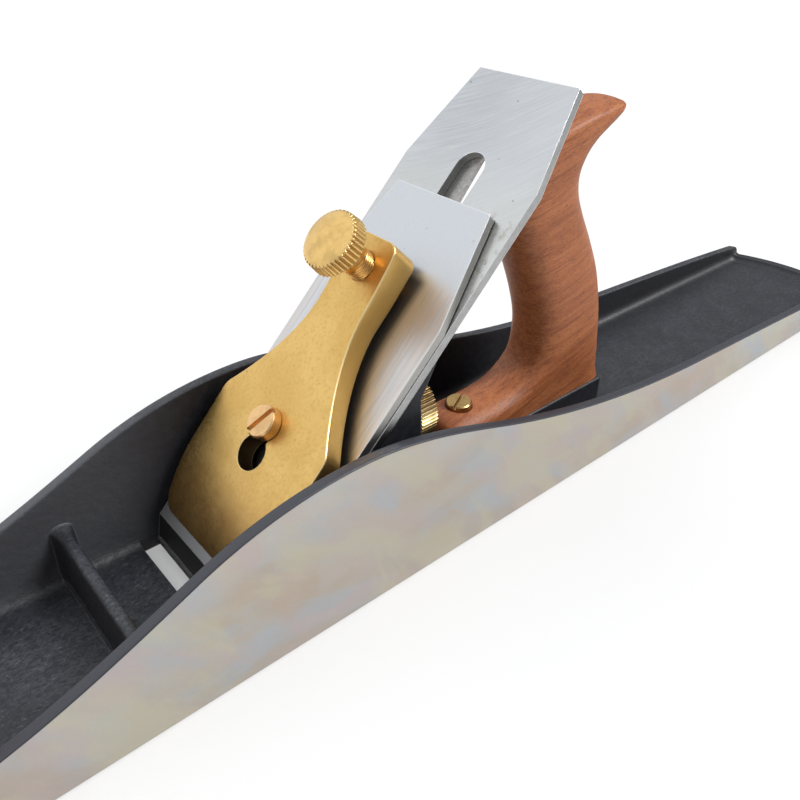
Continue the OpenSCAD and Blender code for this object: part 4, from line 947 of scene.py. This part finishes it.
def steel_material():
    net = Net("plain_steel")
    fine = net.noise(1200, 3, 0.6)
    base = net.mix(net.ramp(fine, 0.35, 0.65), (0.44, 0.43, 0.42, 1), (0.36, 0.35, 0.34, 1))
    # Bright edges: worn metal with a painted highlight
    base = net.mix(net.both(net.edge_wear_and_highlight(0.3 * MM), 0.6), base, (0.75, 0.74, 0.72, 1))
    normal = net.bump(fine, 0.01 * MM, 0.6, net.rounded(0.25 * MM))
    return net.finish(base, net.ramp(fine, 0.3, 0.7, 0.25, 0.40), 1.0, normal)


def wood_material():
    """Reddish hardwood with grain that falls towards the heel and short fine pores."""
    net = Net("red_hardwood")
    tilt = (0, math.radians(-13), 0)
    band = net.noise(1.0, 3, 0.5, net.stretched((12, 110, 210), tilt), 0.6)
    streak = net.noise(1.0, 4, 0.65, net.stretched((60, 700, 1150), tilt))
    pore = net.noise(1.0, 2, 0.5, net.stretched((620, 4200, 5600), tilt))
    base = net.mix(net.ramp(band, 0.34, 0.66), (0.43, 0.145, 0.054, 1), (0.34, 0.105, 0.038, 1))
    base = net.mix(net.ramp(streak, 0.44, 0.70, 0, 0.6), base, (0.54, 0.205, 0.080, 1))
    base = net.mix(net.ramp(streak, 0.50, 0.32, 0, 0.5), base, (0.19, 0.052, 0.021, 1))
    dark = net.ramp(pore, 0.55, 0.66)
    base = net.mix(net.both(dark, 0.65), base, (0.060, 0.018, 0.010, 1))
    height = net.math("SUBTRACT", net.math("MULTIPLY", streak, 0.3), dark)
    normal = net.bump(height, 0.03 * MM, 0.5)
    rough = net.ramp(streak, 0.3, 0.7, 0.42, 0.54)
    return net.finish(base, rough, 0.0, normal, Specular_IOR_Level=0.36)


def dress(obj, material):
    obj.data.materials.clear()
    obj.data.materials.append(material)
    return obj


def stage():
    """Plain floor that shows white to the camera and in the metal, and soft light all round."""
    bpy.ops.mesh.primitive_plane_add(size=12, location=(0, 0, -0.0002))
    floor = bpy.context.object
    floor.name = "floor"
    net = Net("floor_white")
    tone = net.noise(3, 2, 0.5)
    color = net.mix(net.ramp(tone, 0.3, 0.7), (0.59, 0.59, 0.59, 1), (0.61, 0.61, 0.61, 1))
    dress(floor, net.finish(color, 0.9, 0.0, Specular_IOR_Level=0.0))
    seen = net.node("ShaderNodeLightPath").outputs
    showing = net.math("MAXIMUM", seen["Is Camera Ray"], seen["Is Glossy Ray"])
    showing = net.math("MAXIMUM", showing, seen["Is Transmission Ray"])
    net.put(net.bsdf.inputs["Emission Strength"], net.math("MULTIPLY", showing, 0.27))
    net.bsdf.inputs["Emission Color"].default_value = (1, 1, 1, 1)

    world = bpy.data.worlds.new("studio")
    bpy.context.scene.world = world
    world.use_nodes = True
    tree = world.node_tree
    tree.nodes.clear()
    out = tree.nodes.new("ShaderNodeOutputWorld")
    soft = tree.nodes.new("ShaderNodeBackground")
    soft.inputs["Color"].default_value = (0.97, 0.985, 1.0, 1)
    place = tree.nodes.new("ShaderNodeTexCoord").outputs["Generated"]

    def glow(toward, low, high, dim, bright):
        """Level that rises from dim to bright as a direction nears another."""
        dot = tree.nodes.new("ShaderNodeVectorMath")
        dot.operation = "DOT_PRODUCT"
        dot.inputs[1].default_value = Vector(toward).normalized()
        level = tree.nodes.new("ShaderNodeMapRange")
        level.interpolation_type = "SMOOTHSTEP"
        for key, number in (("From Min", low), ("From Max", high), ("To Min", dim), ("To Max", bright)):
            level.inputs[key].default_value = number
        tree.links.new(place, dot.inputs[0])
        tree.links.new(dot.outputs["Value"], level.inputs["Value"])
        return level.outputs["Result"]

    tree.links.new(glow((0.40, -0.50, 0.77), -0.25, 0.9, 0.12, 1.06), soft.inputs["Strength"])
    tree.links.new(soft.outputs["Background"], out.inputs["Surface"])


def key_light(source, strength, angle):
    """A soft far light from the direction of a point."""
    data = bpy.data.lights.new("key", "SUN")
    data.energy = strength
    data.angle = math.radians(angle)
    light = bpy.data.objects.new("key", data)
    bpy.context.scene.collection.objects.link(light)
    light.rotation_mode = "QUATERNION"
    light.rotation_quaternion = (-Vector(source)).to_track_quat("-Z", "Y")
    return light


def camera():
    data = bpy.data.cameras.new("photo_view")
    data.sensor_width = 36
    data.lens = CAMERA_LENS
    data.clip_start, data.clip_end = 0.01, 50
    made = bpy.data.objects.new("photo_view", data)
    bpy.context.scene.collection.objects.link(made)
    made.location = CAMERA_AT
    look = (Vector(CAMERA_AIM) - Vector(CAMERA_AT)).to_track_quat("-Z", "Y")
    roll = Matrix.Rotation(CAMERA_ROLL, 3, "Z").to_quaternion()
    made.rotation_mode = "QUATERNION"
    made.rotation_quaternion = look @ roll
    bpy.context.scene.camera = made


def stand_in(piece, material, node, body):
    """Puts a finer piece in the place of a CAD node."""
    dress(piece, material)
    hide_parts(node)
    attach(piece, body)


def main():
    camera()
    stage()
    key_light((-0.75, 0.72, 0.95), 2.7, 24)

    brass = brass_material("turned_brass", (0.84, 0.57, 0.22, 1), 0.22, 0.36)
    knob_brass = brass_material("knob_brass", (0.86, 0.575, 0.215, 1), 0.28, 0.38, 9.85)
    stem_brass = brass_material("stem_brass", (0.78, 0.43, 0.135, 1), 0.22, 0.34)
    screw_bronze = brass_material("screw_bronze", (0.88, 0.56, 0.27, 1), 0.26, 0.40)
    old_brass = brass_material("old_brass", (0.52, 0.335, 0.13, 1), 0.28, 0.42)
    wood = wood_material()
    stand_in(make_casting(), casting_material(), "body_casting", "body")
    stand_in(make_tote(), wood, "tote", "body")
    stand_in(make_front_knob(), wood, "front_knob", "body")
    stand_in(make_lever_cap(), bronze_material(), "lever_cap", "lever_cap_body")
    stand_in(make_thumb_knob(), knob_brass, "thumbscrew_knob", "thumb_knob")
    stand_in(make_thumb_stem(), stem_brass, "thumbscrew_stem", "thumb_stem")

    steel = steel_material()
    looks = {
        "frog": frog_material(), "cutting_iron": iron_material(), "cap_iron": cap_iron_material(),
        "lever_cap_screw": screw_bronze, "depth_nut": brass, "depth_wheel": wheel_material(),
        "tote_nut": brass, "tote_toe_screw": old_brass, "knob_nut": brass,
    }
    for name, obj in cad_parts.items():
        if not obj.hide_render:
            dress(obj, looks.get(name, steel))
    bpy.context.scene.view_settings.view_transform = "Standard"


main()
